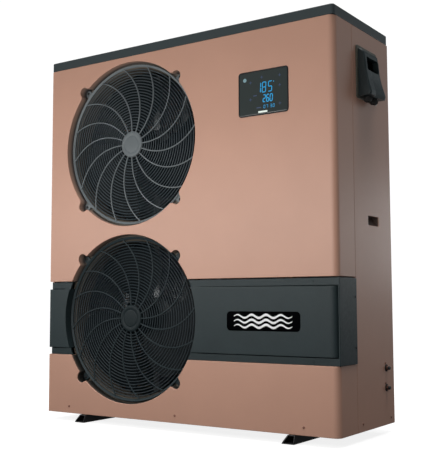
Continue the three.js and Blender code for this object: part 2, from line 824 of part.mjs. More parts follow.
// Rubber grommets: a waisted bush that the compressor foot snaps into.
for (let i = 0; i < 3; i += 1) {
  const foot = COMPRESSOR.low - PAN_TOP;
  const bush = turnedZ(
    [
      [0, GAP],
      [15, GAP],
      [15, foot + 2 - GAP],
      [6.5, foot + 2 - GAP],
      [6.5, foot + 6 + GAP],
      [11, foot + 6 + GAP],
      [9, foot + 16],
      [0, foot + 16],
    ],
    ...footPlace(i),
    PAN_TOP,
    12,
  );
  add("compressor_grommet_" + (i + 1), bush, PAINT.rubber);
}

const ACCUMULATOR = { x: 925, y: 80, r: 34, low: FLOOR + 120, height: 210 };

// Suction accumulator with the tube that feeds the compressor's side.
function accumulator() {
  const { x, y, r, low, height } = ACCUMULATOR;
  const can = turnedZ(
    [
      [0, 0],
      [r - 14, 0],
      [r, 14],
      [r, height - 14],
      [r - 14, height],
      [8, height],
      [8, height + 16],
      [0, height + 16],
    ],
    x,
    y,
    low,
  );
  const toward = new THREE.Vector2(COMPRESSOR.x - x, COMPRESSOR.y - y);
  const reach = toward.length() - COMPRESSOR.r - GAP - 0.5;
  const end = toward.setLength(reach);
  const link = bentTube(
    [
      [x, y, low + 6],
      [x, y, low - 30],
      [x + end.x * 0.4, y + end.y * 0.4, low - 50],
      [x + end.x, y + end.y, low - 50],
    ],
    8,
    16,
  );
  return join(can, link);
}

add("accumulator", accumulator(), PAINT.black);

const EXCHANGER = { x: UNION_X, y: 200, r: 78, low: FLOOR + 60, high: FLOOR + 640 };
const PORT_R = 26;

// Water-side vessel that holds the titanium coil, with two water ports at the back.
function heatExchanger() {
  const { x, y, r, low, high } = EXCHANGER;
  const height = high - low;
  const vessel = turnedZ(
    [
      [0, 0],
      [r - 10, 0],
      [r + 6, 10],
      [r + 6, 30],
      [r, 30],
      [r, height - 12],
      [r - 10, height],
      [10, height],
      [10, height + 20],
      [0, height + 20],
    ],
    x,
    y,
    low,
    20,
  );
  const ports = Object.keys(UNION_HEIGHTS).map((end) =>
    cylinderY(PORT_R, x, [y, y + r + 14], unionZ(end), 20),
  );
  const stub = cylinderY(7, x - 40, [y + r - 30, y + r + 4], low + 46, 12);
  const cradle = box([x - 60, x + 60], [y - 45, y + 45], [PAN_TOP + GAP, low + 4]);
  return join(vessel, stub, cradle, ...ports);
}

add("heat_exchanger", heatExchanger(), PAINT.pvc);

const VALVE = { x: 830, y: 300, z: FLOOR + 560, r: 20, half: 58, spacing: 32 };

// Reversing valve: one port below from the compressor, three ports above.
function fourWayValve() {
  const { x, y, z, r, half, spacing } = VALVE;
  const body = cylinderX(r, [x - half, x + half], y, z, 20);
  const pilot = box([x - 30, x + 30], [y - r - 26, y - 6], [z - 12, z + 12]);
  const below = cylinderZ(8, x, y, [z - r - 22, z], 12);
  const above = [-1, 0, 1].map((n) => cylinderZ(8, x + n * spacing, y, [z, z + r + 22], 12));
  return join(body, pilot, below, ...above);
}

add("four_way_valve", fourWayValve(), PAINT.brass);

const TUBE_R = 8;
const valveTop = VALVE.z + VALVE.r + 22 + TUBE_GAP;
const valvePort = (n) => VALVE.x + n * VALVE.spacing;

const dischargePipe = bentTube(
  [
    [COMPRESSOR.x, COMPRESSOR.y, COMPRESSOR.low + COMPRESSOR.height + 12 + TUBE_GAP],
    [COMPRESSOR.x, COMPRESSOR.y, COMPRESSOR.low + COMPRESSOR.height + 50],
    [VALVE.x, VALVE.y, VALVE.z - VALVE.r - 62],
    [VALVE.x, VALVE.y, VALVE.z - VALVE.r - 22 - TUBE_GAP],
  ],
  TUBE_R,
);
add("discharge_pipe", dischargePipe, PAINT.tube);

const suctionPipe = bentTube(
  [
    [valvePort(0), VALVE.y, valveTop],
    [valvePort(0), VALVE.y, valveTop + 24],
    [valvePort(0) + 30, VALVE.y - 70, valveTop + 40],
    [ACCUMULATOR.x - 4, ACCUMULATOR.y + 20, valveTop - 60],
    [ACCUMULATOR.x, ACCUMULATOR.y, valveTop - 140],
    [ACCUMULATOR.x, ACCUMULATOR.y, ACCUMULATOR.low + ACCUMULATOR.height + 16 + GAP],
  ],
  TUBE_R,
);
add("suction_pipe", suctionPipe, PAINT.tube);

const coilGasPipe = bentTube(
  [
    [valvePort(-1), VALVE.y, valveTop],
    [valvePort(-1), VALVE.y, valveTop + 30],
    [valvePort(-1) - 24, HEADER.y, valveTop + 50],
    [HEADER.x + HEADER.r + GAP + 0.5, HEADER.y, valveTop + 50],
  ],
  TUBE_R,
);
add("coil_gas_pipe", coilGasPipe, PAINT.tube);

const exchangerGasPipe = bentTube(
  [
    [valvePort(1), VALVE.y, valveTop],
    [valvePort(1), VALVE.y, valveTop + 40],
    [valvePort(1) + 70, VALVE.y - 40, valveTop + 80],
    [EXCHANGER.x, EXCHANGER.y, EXCHANGER.high + 70],
    [EXCHANGER.x, EXCHANGER.y, EXCHANGER.high + 20 + GAP],
  ],
  TUBE_R,
);
add("exchanger_gas_pipe", exchangerGasPipe, PAINT.tube);

const liquidPipe = bentTube(
  [
    [EXCHANGER.x - 40, EXCHANGER.y + EXCHANGER.r + 4 + TUBE_GAP, EXCHANGER.low + 46],
    [EXCHANGER.x - 40, EXPANSION.y - 4, EXCHANGER.low + 46],
    [EXCHANGER.x - 80, EXPANSION.y, EXCHANGER.low + 46],
    [EXPANSION.x + 30, EXPANSION.y, EXCHANGER.low + 46],
    [EXPANSION.x, EXPANSION.y, EXCHANGER.low + 74],
    [EXPANSION.x, EXPANSION.y, EXPANSION.z - 20 - TUBE_GAP],
  ],
  6,
  18,
);
add("liquid_pipe", liquidPipe, PAINT.tube);

// ---------------------------------------------------------------- water side

const PIPE_R = PIPE_OD / 2;
const UNION = { bore: 21, threadR: 31, nutR: 40, socketR: 29 };

// Each union: a tail through the rear skin, a loose nut, and the socket that the nut clamps.
function unionTail(end) {
  const inside = EXCHANGER.y + EXCHANGER.r + 14 + GAP;
  const profile = closed([
    [UNION.bore, inside],
    [PIPE_R, inside],
    [PIPE_R, CABINET_D + GAP],
    [36, CABINET_D + GAP],
    [36, CABINET_D + 5],
    [UNION.threadR, CABINET_D + 5],
    [UNION.threadR, CABINET_D + 24],
    [UNION.bore, CABINET_D + 24],
  ]);
  return turnedY(profile, UNION_X, unionZ(end), 18);
}

function unionSocket(end) {
  const rear = CABINET_D + UNION_OUT;
  const seat = CABINET_D + 24 + GAP;
  const profile = closed([
    [UNION.bore, seat],
    [UNION.threadR, seat],
    [UNION.threadR, seat + 5],
    [UNION.socketR, seat + 5],
    [UNION.socketR, rear],
    [PIPE_R + 0.2, rear],
    [PIPE_R + 0.2, seat + 7],
    [UNION.bore, seat + 7],
  ]);
  return turnedY(profile, UNION_X, unionZ(end), 18);
}

function unionNut(end) {
  const [front, back] = [CABINET_D + 8, CABINET_D + 44];
  const lip = CABINET_D + 24 + 5 + 2 * GAP;
  const profile = closed([
    [UNION.threadR + 0.5, front],
    [UNION.nutR, front],
    [UNION.nutR, back],
    [UNION.socketR + 0.5, back],
    [UNION.socketR + 0.5, lip],
    [UNION.threadR + 0.5, lip],
  ]);
  let nut = turnedY(profile, UNION_X, unionZ(end), 20);
  for (let i = 0; i < 8; i += 1) {
    const angle = (i * Math.PI) / 4;
    const x = UNION_X + UNION.nutR * Math.cos(angle);
    const z = unionZ(end) + UNION.nutR * Math.sin(angle);
    nut = nut.add(cylinderY(4, x, [front + 2, back - 2], z, 6));
  }
  return nut;
}

for (const end of ["in", "out"]) {
  add("union_tail_" + end, unionTail(end), PAINT.pvc);
  add("union_socket_" + end, unionSocket(end), PAINT.pvc);
  add("union_nut_" + end, unionNut(end), PAINT.black);
}

function flowSwitch() {
  const y = EXCHANGER.y + EXCHANGER.r + 60;
  const base = unionZ("out") + PIPE_R + GAP;
  const stem = cylinderZ(9, UNION_X, y, [base, base + 14], 12);
  const head = box([UNION_X - 18, UNION_X + 18], [y - 14, y + 14], [base + 12, base + 50]);
  return join(stem, head);
}

add("flow_switch", flowSwitch(), PAINT.black);

// ---------------------------------------------------------------- electrics

const ELECTRICS = {
  x: [722, CABINET_W - SHEET - GAP],
  y: [45, 262],
  z: [FLOOR + 726, FLOOR + 1182],
};

// Closed box against the right side skin, where the cables come in from the terminal cover.
function electricalBox() {
  const outer = box(ELECTRICS.x, ELECTRICS.y, ELECTRICS.z);
  const inner = box(...[ELECTRICS.x, ELECTRICS.y, ELECTRICS.z].map((span) => grown(span, -SHEET)));
  const wall = [ELECTRICS.x[1] - 10, ELECTRICS.x[1] + 10];
  const middle = (CABLE_HOLE.y[0] + CABLE_HOLE.y[1]) / 2;
  const entry = cylinderX(20, wall, middle, (CABLE_HOLE.z[0] + CABLE_HOLE.z[1]) / 2, 20);
  return cut(outer, inner, entry);
}

add("electrical_box", electricalBox(), PAINT.zinc);

function controlBoard() {
  const back = ELECTRICS.y[1] - SHEET - GAP;
  let board = box([740, 960], [back - 8, back - 6], [FLOOR + 760, FLOOR + 1150]);
  const spacer = [back - 7, back];
  for (const x of [750, 950]) {
    for (const z of [FLOOR + 772, FLOOR + 1138]) {
      board = board.add(cylinderY(4, x, spacer, z, 8));
    }
  }
  const relays = [800, 850, 900].map((x) =>
    box([x, x + 30], [back - 36, back - 7], [FLOOR + 800, FLOOR + 840]),
  );
  return join(board, ...relays);
}

add("control_board", controlBoard(), PAINT.board);

function terminalBlock() {
  const back = ELECTRICS.y[1] - SHEET - GAP;
  let block = box([990, 1070], [back - 34, back], [FLOOR + 900, FLOOR + 930]);
  for (let i = 0; i < 5; i += 1) {
    const x = 999 + i * 15;
    block = block.subtract(cylinderY(4, x, [back - 40, back - 24], FLOOR + 915, 8));
  }
  return block;
}

add("terminal_block", terminalBlock(), PAINT.black);

function heatSink() {
  const face = ELECTRICS.y[1] + GAP;
  let sink = box([760, 940], [face, face + 6], [FLOOR + 860, FLOOR + 1060]);
  for (let i = 0; i < 10; i += 1) {
    const x = 762 + i * 19;
    sink = sink.add(box([x, x + 4], [face + 5, face + 45], [FLOOR + 860, FLOOR + 1060]));
  }
  return sink;
}

add("heat_sink", heatSink(), PAINT.fins);

// ---------------------------------------------------------------- control display

function displayBezel() {
  const rim = carriedBack(roundedRect(DISPLAY_X, DISPLAY_Z, 10), [-1.8, -GAP]);
  const neckX = grown(DISPLAY_X, -2.3);
  const neckZ = grown(DISPLAY_Z, -2.3);
  const neck = carriedBack(roundedRect(neckX, neckZ, 7.7), [-0.5, 28]);
  const pocketX = grown(DISPLAY_X, -3.5);
  const pocketZ = grown(DISPLAY_Z, -3.5);
  const pocket = carriedBack(roundedRect(pocketX, pocketZ, 6.5), [-5, 1.5]);
  const hollow = box(grown(DISPLAY_X, -8), [-5, 25], grown(DISPLAY_Z, -8));
  return cut(join(rim, neck), pocket, hollow);
}

add("display_bezel", displayBezel(), PAINT.black);

const glassOutline = roundedRect(grown(DISPLAY_X, -3.8), grown(DISPLAY_Z, -3.8), 6.2);
add("display_glass", carriedBack(glassOutline, [-1.4, 1.2]), PAINT.glass);

// ---------------------------------------------------------------- terminal cover

const COVER_PLATE = { y: [143, 288], z: [FLOOR + 981, FLOOR + 1143], t: 4 };
const POCKET = { y: [166, 242], z: [FLOOR + 1070, FLOOR + 1108], depth: 20 };

// Side view of the hood as [distance off the cabinet side, height above its underside].
const HOOD_PROFILE = [
  [0, 1138],
  [16, 1136],
  [22, 1128],
  [27, 1100],
  [30, 1066],
  [35, 1040],
  [HOOD_OUT, 1000],
  [HOOD_OUT - 1, 992],
  [0, 986],
];
const HOOD_CAVITY = [
  [-5, 1058],
  [24, 1058],
  [30, 1040],
  [40, 1000],
  [39, 997],
  [-5, 993],
];

// A profile (x, z) off the right side, carried along the side.
function alongSide(profile, depths) {
  const placed = profile.map(([out, height]) => [CABINET_W + GAP + out, FLOOR + height]);
  return carriedBack(polygon(placed), depths);
}

const GLAND = { x: CABINET_W + 20, ys: { power: 182, control: 226 }, holeR: 10 };

function terminalCover() {
  const { y, z, t } = COVER_PLATE;
  const plateShape = roundedRect(y, z, 8);
  const options = { depth: t, bevelEnabled: false, curveSegments: 5 };
  const axes = new THREE.Matrix4().makeBasis(
    new THREE.Vector3(0, 1, 0),
    new THREE.Vector3(0, 0, 1),
    new THREE.Vector3(1, 0, 0),
  );
  const plate = new THREE.ExtrudeGeometry(plateShape, options).applyMatrix4(axes);
  plate.translate(CABINET_W + GAP, 0, 0);
  const hood = alongSide(HOOD_PROFILE, HOOD_Y);
  const cavity = alongSide(HOOD_CAVITY, grown(HOOD_Y, -5));
  const slope = 12;
  const pocket = box([CABINET_W + slope, CABINET_W + 60], POCKET.y, POCKET.z);
  const holes = Object.values(GLAND.ys).map((gy) =>
    cylinderZ(GLAND.holeR, GLAND.x, gy, [FLOOR + 980, FLOOR + 1005], 16),
  );
  return cut(join(solidFrom(plate), hood), cavity, pocket, ...holes);
}

add("terminal_cover", terminalCover(), PAINT.black);

for (const [use, y] of Object.entries(GLAND.ys)) {
  const gland = turnedZ(
    closed([
      [6, 972],
      [10, 972],
      [13, 976],
      [13, 984],
      [GLAND.holeR - GAP, 984],
      [GLAND.holeR - GAP, 998],
      [13, 998],
      [13, 1006],
      [6, 1006],
    ]),
    GLAND.x,
    y,
    FLOOR,
    12,
  );
  add("cable_gland_" + use, gland, PAINT.black);
}

// Two capped service ports low on the right side, on one strip behind the skin.
function servicePorts() {
  const inner = CABINET_W - SHEET - GAP;
  const heights = [FLOOR + PORT_HEIGHTS[0] - 24, FLOOR + PORT_HEIGHTS[1] + 24];
  let ports = box([inner - 4, inner], [PORT_Y - 18, PORT_Y + 18], heights);
  for (const height of PORT_HEIGHTS) {
    const z = FLOOR + height;
    ports = ports.add(cylinderX(9, [inner - 2, CABINET_W + 5], PORT_Y, z, 16));
    ports = ports.add(cylinderX(6.5, [inner - 2, CABINET_W + 13], PORT_Y, z, 12));
  }
  return ports;
}

add("service_ports", servicePorts(), PAINT.brass);

// ---------------------------------------------------------------- frame

const leftEdge = 0;
const rightEdge = CABINET_W + GAP + HOOD_OUT;
const frontEdge = -FOOT_PROUD;
const rearEdge = CABINET_D + UNION_OUT;
unit.position.set(-(leftEdge + rightEdge) / 2, -(frontEdge + rearEdge) / 2, 0);

export default unit;
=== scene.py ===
import json
from math import asin, cos, degrees, hypot, pi, radians, sin, sqrt

import bmesh
import bpy
from mathutils import Matrix, Vector


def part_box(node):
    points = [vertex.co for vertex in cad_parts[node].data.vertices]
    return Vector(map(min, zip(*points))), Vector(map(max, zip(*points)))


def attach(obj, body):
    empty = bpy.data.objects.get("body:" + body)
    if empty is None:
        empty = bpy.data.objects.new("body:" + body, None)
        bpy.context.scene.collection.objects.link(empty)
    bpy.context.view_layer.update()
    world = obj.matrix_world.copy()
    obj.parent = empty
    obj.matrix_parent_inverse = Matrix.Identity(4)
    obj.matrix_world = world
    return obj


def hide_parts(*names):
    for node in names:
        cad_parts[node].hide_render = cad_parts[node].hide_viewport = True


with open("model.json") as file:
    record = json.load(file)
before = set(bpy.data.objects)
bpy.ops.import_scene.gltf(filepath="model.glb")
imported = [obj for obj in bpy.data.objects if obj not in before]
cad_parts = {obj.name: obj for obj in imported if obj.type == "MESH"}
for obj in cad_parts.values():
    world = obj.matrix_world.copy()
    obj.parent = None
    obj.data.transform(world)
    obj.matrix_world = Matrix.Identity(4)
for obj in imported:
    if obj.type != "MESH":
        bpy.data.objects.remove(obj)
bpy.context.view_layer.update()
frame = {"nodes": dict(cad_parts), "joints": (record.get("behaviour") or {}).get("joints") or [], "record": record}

# ---- the cabinet's own measure
# Shapes are drawn in cabinet millimetres: x from the left side, y back from the front skin,
# z up from the ground. They are turned into row metres when a piece is made.

MM = 0.001
ORIGIN = Vector((*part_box("top_cover")[0].xy, 0))
TO_ROW = Matrix.Translation(ORIGIN) @ Matrix.Scale(MM, 4)
X, Y, Z = Vector((1, 0, 0)), Vector((0, 1, 0)), Vector((0, 0, 1))
QUARTER, WHOLE = pi / 2, 2 * pi


def to_cabinet(point):
    return (Vector(point) - ORIGIN) / MM


def extent(node):
    """Lowest and highest corner of a CAD node, in cabinet millimetres."""
    return tuple(to_cabinet(corner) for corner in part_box(node))


def half_width(node):
    low, high = extent(node)
    return (high.x - low.x) / 2


def named(entries, name):
    return next(entry for entry in entries if entry["name"] == name)


def joint_place(name):
    return to_cabinet(named(frame["joints"], name)["pos_m"])


(_, _, PANEL_TOP), (WIDTH, DEPTH, TOP) = extent("top_cover")
(_, _, FLOOR), (_, RETURN_END, _) = extent("lower_front_panel")
(_, RAIL_INSET, BAND_LOW), (_, _, BAND_HIGH) = extent("band_channel_right")
(_, _, COVER_LOW), (_, _, COVER_HIGH) = extent("band_cover_right")
SIDE_FACE = extent("right_side_panel")[1].x
COLLAR_DEPTH = extent("fan_shroud_upper")[0].y - 1
SKIN_TOP = PANEL_TOP - 1.2
GAP = 0.6
SHEET = 1.2
CORNER_R = 20
REAR_R = 2.5
LEFT_RETURN = 12
REAR_RETURN = 26

FANS = {fan: joint_place("fan_" + fan + "_spin").xz for fan in ("upper", "lower")}
GUARD_R = half_width("grille_upper")
OPENING_R = GUARD_R + 6
LOBE_R = 18
LOBE_AT = OPENING_R + 6
OPENING_REACH = LOBE_AT + LOBE_R + 1
DIAGONALS = (45, 135, 225, 315)

# ---- camera, floor and light

SENSOR = 36
LENS = SENSOR * 850.981 / 450
CAMERA_TURN = (0.5961, 0.0878, -0.0035)  # yaw, pitch and roll in radians
CAMERA_AT = (1.950, -1.9259, 0.3422)  # cabinet widths from the cabinet's front left bottom corner
VIEW_END = 60
# Place, target, size, watts and colour of each area light.
AREA_LIGHTS = {
    "key": ((-0.31, -1.26, 0.72), (-0.31, 0, 0.72), (2.66, 0.54), 15.2, (1, 0.99, 0.97)),
    "side": ((1.7, 2.15, 1.15), (0.58, 0, 0.8), (1.2, 2.2), 4.5, (0.84, 0.95, 1)),
    "rear": ((-0.2, 1.7, 0.75), (0, 0, 0.65), (2.6, 0.5), 16, (1, 1, 1)),
    "left": ((-2.2, 0.2, 0.8), (0, 0, 0.65), (2.0, 0.5), 8, (1, 1, 1)),
}
SUN_STRENGTH, SUN_ANGLE = 2.6, 0.6
FILL_COLOR, FILL = (0.96, 0.98, 1.0, 1), 0.1
WHITE, BACKDROP = (1, 1, 1, 1), 1.05
FLOOR_REACH = 30
FLOOR_COLOR, FLOOR_GLOW = (0.24, 0.24, 0.24), 0.84


def new_object(name, data):
    made = bpy.data.objects.new(name, data)
    bpy.context.scene.collection.objects.link(made)
    return made


def make_camera():
    yaw, pitch, roll = CAMERA_TURN
    ahead = Vector((-sin(yaw) * cos(pitch), cos(yaw) * cos(pitch), sin(pitch)))
    level = Vector((cos(yaw), sin(yaw), 0))
    above = level.cross(ahead)
    right = cos(roll) * level + sin(roll) * above
    up = cos(roll) * above - sin(roll) * level
    data = bpy.data.cameras.new("camera")
    data.sensor_width = SENSOR
    data.lens = LENS
    data.clip_end = VIEW_END
    camera = new_object("camera", data)
    place = ORIGIN + Vector(CAMERA_AT) * WIDTH * MM + Z * FLOOR * MM
    turn = Matrix((right, up, -ahead)).transposed().to_4x4()
    camera.matrix_world = Matrix.Translation(place) @ turn
    bpy.context.scene.camera = camera


def make_lights():
    for name, (place, target, size, watts, color) in AREA_LIGHTS.items():
        data = bpy.data.lights.new(name, "AREA")
        data.shape = "RECTANGLE"
        data.size, data.size_y = size
        data.energy = watts
        data.color = color
        light = new_object(name, data)
        light.location = place
        light.rotation_euler = (Vector(target) - Vector(place)).to_track_quat("-Z", "Y").to_euler()
        light.visible_camera = False
    sun = bpy.data.lights.new("above", "SUN")
    sun.energy = SUN_STRENGTH
    sun.angle = SUN_ANGLE
    new_object("above", sun)


def make_world():
    """A white backdrop for the camera that lights the object far more softly."""
    world = bpy.data.worlds.new("studio")
    bpy.context.scene.world = world
    world.use_nodes = True
    tree = world.node_tree
    fill = tree.nodes["Background"]
    backdrop = tree.nodes.new("ShaderNodeBackground")
    for node, color, strength in ((fill, FILL_COLOR, FILL), (backdrop, WHITE, BACKDROP)):
        node.inputs["Color"].default_value = color
        node.inputs["Strength"].default_value = strength
    path = tree.nodes.new("ShaderNodeLightPath")
    mix = tree.nodes.new("ShaderNodeMixShader")
    tree.links.new(path.outputs["Is Camera Ray"], mix.inputs["Fac"])
    tree.links.new(fill.outputs["Background"], mix.inputs[1])
    tree.links.new(backdrop.outputs["Background"], mix.inputs[2])
    tree.links.new(mix.outputs["Shader"], tree.nodes["World Output"].inputs["Surface"])


def make_floor():
    mesh = bpy.data.meshes.new("floor")
    mesh.from_pydata([(x, y, 0) for x, y in rect(*(-FLOOR_REACH, FLOOR_REACH) * 2)], [], [range(4)])
    floor = new_object("floor", mesh)
    floor.visible_diffuse = False
    floor.visible_glossy = False
    mesh.materials.append(FINISHES["floor"])


# ---- materials


class Paint:
    """A Principled material with helpers for procedural detail in metres."""

    def __init__(self, name, color):
        self.material = bpy.data.materials.new(name)
        self.material.use_nodes = True
        self.tree = self.material.node_tree
        self.shader = self.tree.nodes["Principled BSDF"]
        self.set("Base Color", (*color, 1))
        self.coords = self.tree.nodes.new("ShaderNodeTexCoord").outputs["Object"]
        self.last_bump = None

    def set(self, socket, value):
        self.shader.inputs[socket].default_value = value

    def node(self, kind, links, values):
        """A new node with some inputs linked and others given values."""
        made = self.tree.nodes.new("ShaderNode" + kind)
        for socket, value in values.items():
            made.inputs[socket].default_value = value
        for socket, source in links.items():
            self.tree.links.new(source, made.inputs[socket])
        return made

    def drive(self, socket, source):
        self.tree.links.new(source, self.shader.inputs[socket])

    def texture(self, kind, feature_mm, stretch=(1, 1, 1), **values):
        mapping = self.node("Mapping", {"Vector": self.coords}, {"Scale": stretch})
        values["Scale"] = 1000 / feature_mm
        return self.node(kind, {"Vector": mapping.outputs["Vector"]}, values)

    def noise(self, feature_mm, detail=3, stretch=(1, 1, 1)):
        return self.texture("TexNoise", feature_mm, stretch, Detail=detail).outputs["Fac"]

    def cells(self, feature_mm, output="Distance"):
        return self.texture("TexVoronoi", feature_mm).outputs[output]

    def spread(self, source, low, high, out_low, out_high):
        limits = {"From Min": low, "From Max": high, "To Min": out_low, "To Max": out_high}
        return self.node("MapRange", {"Value": source}, limits).outputs["Result"]

    def color_from(self, source, stops):
        ramp = self.node("ValToRGB", {"Fac": source}, {})
        elements = ramp.color_ramp.elements
        for index, (place, color) in enumerate(stops):
            element = elements[index] if index < 2 else elements.new(place)
            element.position = place
            element.color = (*color, 1)
        self.drive("Base Color", ramp.outputs["Color"])

    def tint(self, source, amount):
        """Base colour varied lighter and darker by amount, following source."""
        base = self.shader.inputs["Base Color"].default_value[:3]
        darker = [channel * (1 - amount) for channel in base]
        lighter = [min(1, channel * (1 + amount)) for channel in base]
        self.color_from(source, [(0.3, darker), (0.7, lighter)])

    def rough_from(self, source, base, down, up):
        """Roughness varied round a base value, following source."""
        self.set("Roughness", base)
        self.drive("Roughness", self.spread(source, 0.3, 0.7, base - down, base + up))

    def bump(self, source, height_mm, strength):
        """Surface relief of that height, added to any relief made before."""
        links = {"Height": source}
        if self.last_bump:
            links["Normal"] = self.last_bump
        node = self.node("Bump", links, {"Distance": height_mm * MM, "Strength": strength})
        self.last_bump = node.outputs["Normal"]
        self.drive("Normal", self.last_bump)


def powder_coat(paint, roughness=0.42):
    """Sheet metal under powder coat: orange peel and faint mottling."""
    paint.tint(paint.noise(160, 4), 0.025)
    paint.rough_from(paint.noise(24, 4), roughness, 0.012, 0.016)
    paint.bump(paint.noise(2.6, 2), 0.035, 0.8)
    paint.bump(paint.noise(0.7, 2), 0.012, 0.6)


def moulded(paint, roughness=0.5, grain=0.6, gloss=0.35):
    """Moulded plastic with a fine spark-eroded grain."""
    paint.set("Specular IOR Level", gloss)
    paint.tint(paint.noise(60, 3), 0.06)
    paint.rough_from(paint.noise(9, 3), roughness, 0.05, 0.06)
    paint.bump(paint.cells(0.9), 0.02 * grain, 0.8)
    paint.bump(paint.noise(0.35, 2), 0.01 * grain, 0.7)


def gloss_panel(paint):
    """Tinted acrylic: smooth, with the faintest waviness and a few dull patches."""
    paint.rough_from(paint.noise(35, 4), 0.07, 0, 0.05)
    paint.bump(paint.noise(45, 1), 0.02, 0.4)
    paint.set("Coat Weight", 0.6)
    paint.set("Coat Roughness", 0.04)


def bare_metal(paint, roughness, stretch=(1, 1, 1), grain_mm=1.2):
    paint.set("Metallic", 1)
    paint.tint(paint.noise(30, 3, stretch), 0.08)
    paint.rough_from(paint.noise(grain_mm * 4, 4, stretch), roughness, 0.08, 0.1)
    paint.bump(paint.noise(grain_mm, 3, stretch), 0.01, 0.5)


def galvanised(paint):
    """Zinc spangle: flat crystals that differ a little in tone and gloss."""
    paint.set("Metallic", 0.9)
    spangle = paint.cells(9, "Color")
    paint.tint(spangle, 0.14)
    paint.rough_from(spangle, 0.42, 0.08, 0.13)
    paint.bump(paint.noise(2, 3), 0.01, 0.5)


def shaded_collar(paint, stops, reach_mm):
    """Painted shade inside a fan opening: the paint darkens with depth behind the front skin."""
    split = paint.node("SeparateXYZ", {"Vector": paint.coords}, {})
    depth = paint.spread(split.outputs["Y"], ORIGIN.y + 1.5 * MM, ORIGIN.y + reach_mm * MM, 0, 1)
    paint.color_from(depth, stops)
    paint.bump(paint.noise(2.6, 2), 0.035, 0.8)


def rubbery(paint):
    paint.tint(paint.noise(12, 4), 0.15)
    paint.rough_from(paint.noise(5, 4), 0.85, 0.1, 0.07)
    paint.bump(paint.noise(0.8, 3), 0.03, 0.6)


def fibreglass_board(paint):
    paint.set("Roughness", 0.4)
    paint.tint(paint.cells(7, "Color"), 0.35)
    paint.bump(paint.cells(3), 0.03, 0.6)


def lit(paint, glow_color, strength):
    """Backlit display segments with a slightly uneven glow."""
    paint.rough_from(paint.noise(4, 2), 0.3, 0.05, 0.05)
    paint.set("Emission Color", (*glow_color, 1))
    glow = paint.spread(paint.noise(3, 2), 0.2, 0.8, strength * 0.8, strength * 1.15)
    paint.drive("Emission Strength", glow)


def studio_floor(paint):
    paint.rough_from(paint.noise(40), 0.9, 0.05, 0.05)
    paint.set("Emission Color", WHITE)
    paint.set("Emission Strength", FLOOR_GLOW)


SLOT_COLORS = {entry["slot"]: entry["base_color"][:3] for entry in frame["record"]["materials"]}
COPPER = (0.6, 0.338, 0.248)
UNLIT = (0.01, 0.01, 0.012)
# Painted shade in the fan-opening collars: colour stops from the front edge to the deepest part.
SHADED = [(0, (0.5, 0.285, 0.21)), (0.5, (0.4, 0.265, 0.205)), (1, (0.13, 0.11, 0.105))]
DARK_SHADED = [(0, (0.4, 0.23, 0.17)), (0.35, (0.07, 0.055, 0.045)), (1, (0.018, 0.018, 0.016))]
FINISHES = {}


def finish(kind, name, color=None, *settings, slot=None):
    """A finish of the given name; its colour is the slot's of the same name if none is given. The slot argument is
    not used.
    """
    paint = Paint(name, color or SLOT_COLORS[name])
    kind(paint, *settings)
    FINISHES[name] = paint.material


finish(powder_coat, "copper_paint", COPPER)
# Collar finishes paint shade that deepens behind the front skin; the lower skin's goes darker.
finish(shaded_collar, "collar_shaded", COPPER, SHADED, 24)
finish(shaded_collar, "collar_dark", COPPER, DARK_SHADED, 16)
finish(powder_coat, "lid_paint", None, 0.48)
finish(moulded, "band_plastic", (0.022, 0.0355, 0.0395))
finish(moulded, "badge_black", (0.0008, 0.001, 0.0015), 0.6, 0.3, 0.01)
finish(moulded, "badge_pale", (0.98, 0.98, 1.0), 0.4, 0.3, slot="badge_black")
finish(moulded, "grille_grey", (0.145, 0.166, 0.176), 0.42, 0.5)
# Darker copies of the guard finishes paint shade on the lower fan's guard.
finish(moulded, "grille_shade", (0.025, 0.037, 0.042), 0.5, 0.5, 0.22, slot="grille_grey")
finish(moulded, "hub_shade", (0.012, 0.02, 0.023), 0.5, 0.5, 0.2, slot="grille_grey")
finish(powder_coat, "guard_wire", (0.034, 0.05, 0.06), 0.45)
finish(moulded, "wire_shade", (0.027, 0.039, 0.046), 0.5, 0.4, 0.25, slot="guard_wire")
finish(moulded, "fan_plastic", (0.004, 0.007, 0.009), 0.4, 0.3, 0.12)
# Fan plastic made brownish grey for the shroud: painted light.
finish(moulded, "shroud_plastic", (0.13, 0.112, 0.092), 0.6, 0.5, 0.2, slot="fan_plastic")
finish(galvanised, "galvanised_steel")
finish(powder_coat, "motor_shell", None, 0.5)
finish(bare_metal, "shaft_steel", None, 0.3, (1, 4, 1))
finish(bare_metal, "coil_fins", None, 0.38, (1, 1, 0.2))
finish(bare_metal, "copper_tube", None, 0.32)
finish(bare_metal, "brass_fitting", None, 0.35)
# Brass darkened well below the fitting slot's colour, for the valve bodies.
finish(bare_metal, "aged_brass", (0.2, 0.1, 0.075), 0.45, slot="brass_fitting")
finish(powder_coat, "black_paint", None, 0.5)
finish(rubbery, "grommet_rubber")
finish(moulded, "vessel_plastic")
finish(moulded, "union_plastic", None, 0.45)
finish(moulded, "black_plastic", None, 0.42)
finish(moulded, "hood_plastic", (0.008, 0.019, 0.022), 0.46, 0.4, 0.6, slot="black_plastic")
# Black plastic lightened to grey brown for the terminal plate: painted reflection.
finish(moulded, "hood_plate", (0.095, 0.093, 0.075), 0.42, 0.4, 0.5, slot="black_plastic")
# Near black for the pocket floor: painted shade.
finish(moulded, "pocket_black", (0.001, 0.001, 0.0015), 0.7, 0.3, 0.02, slot="black_plastic")
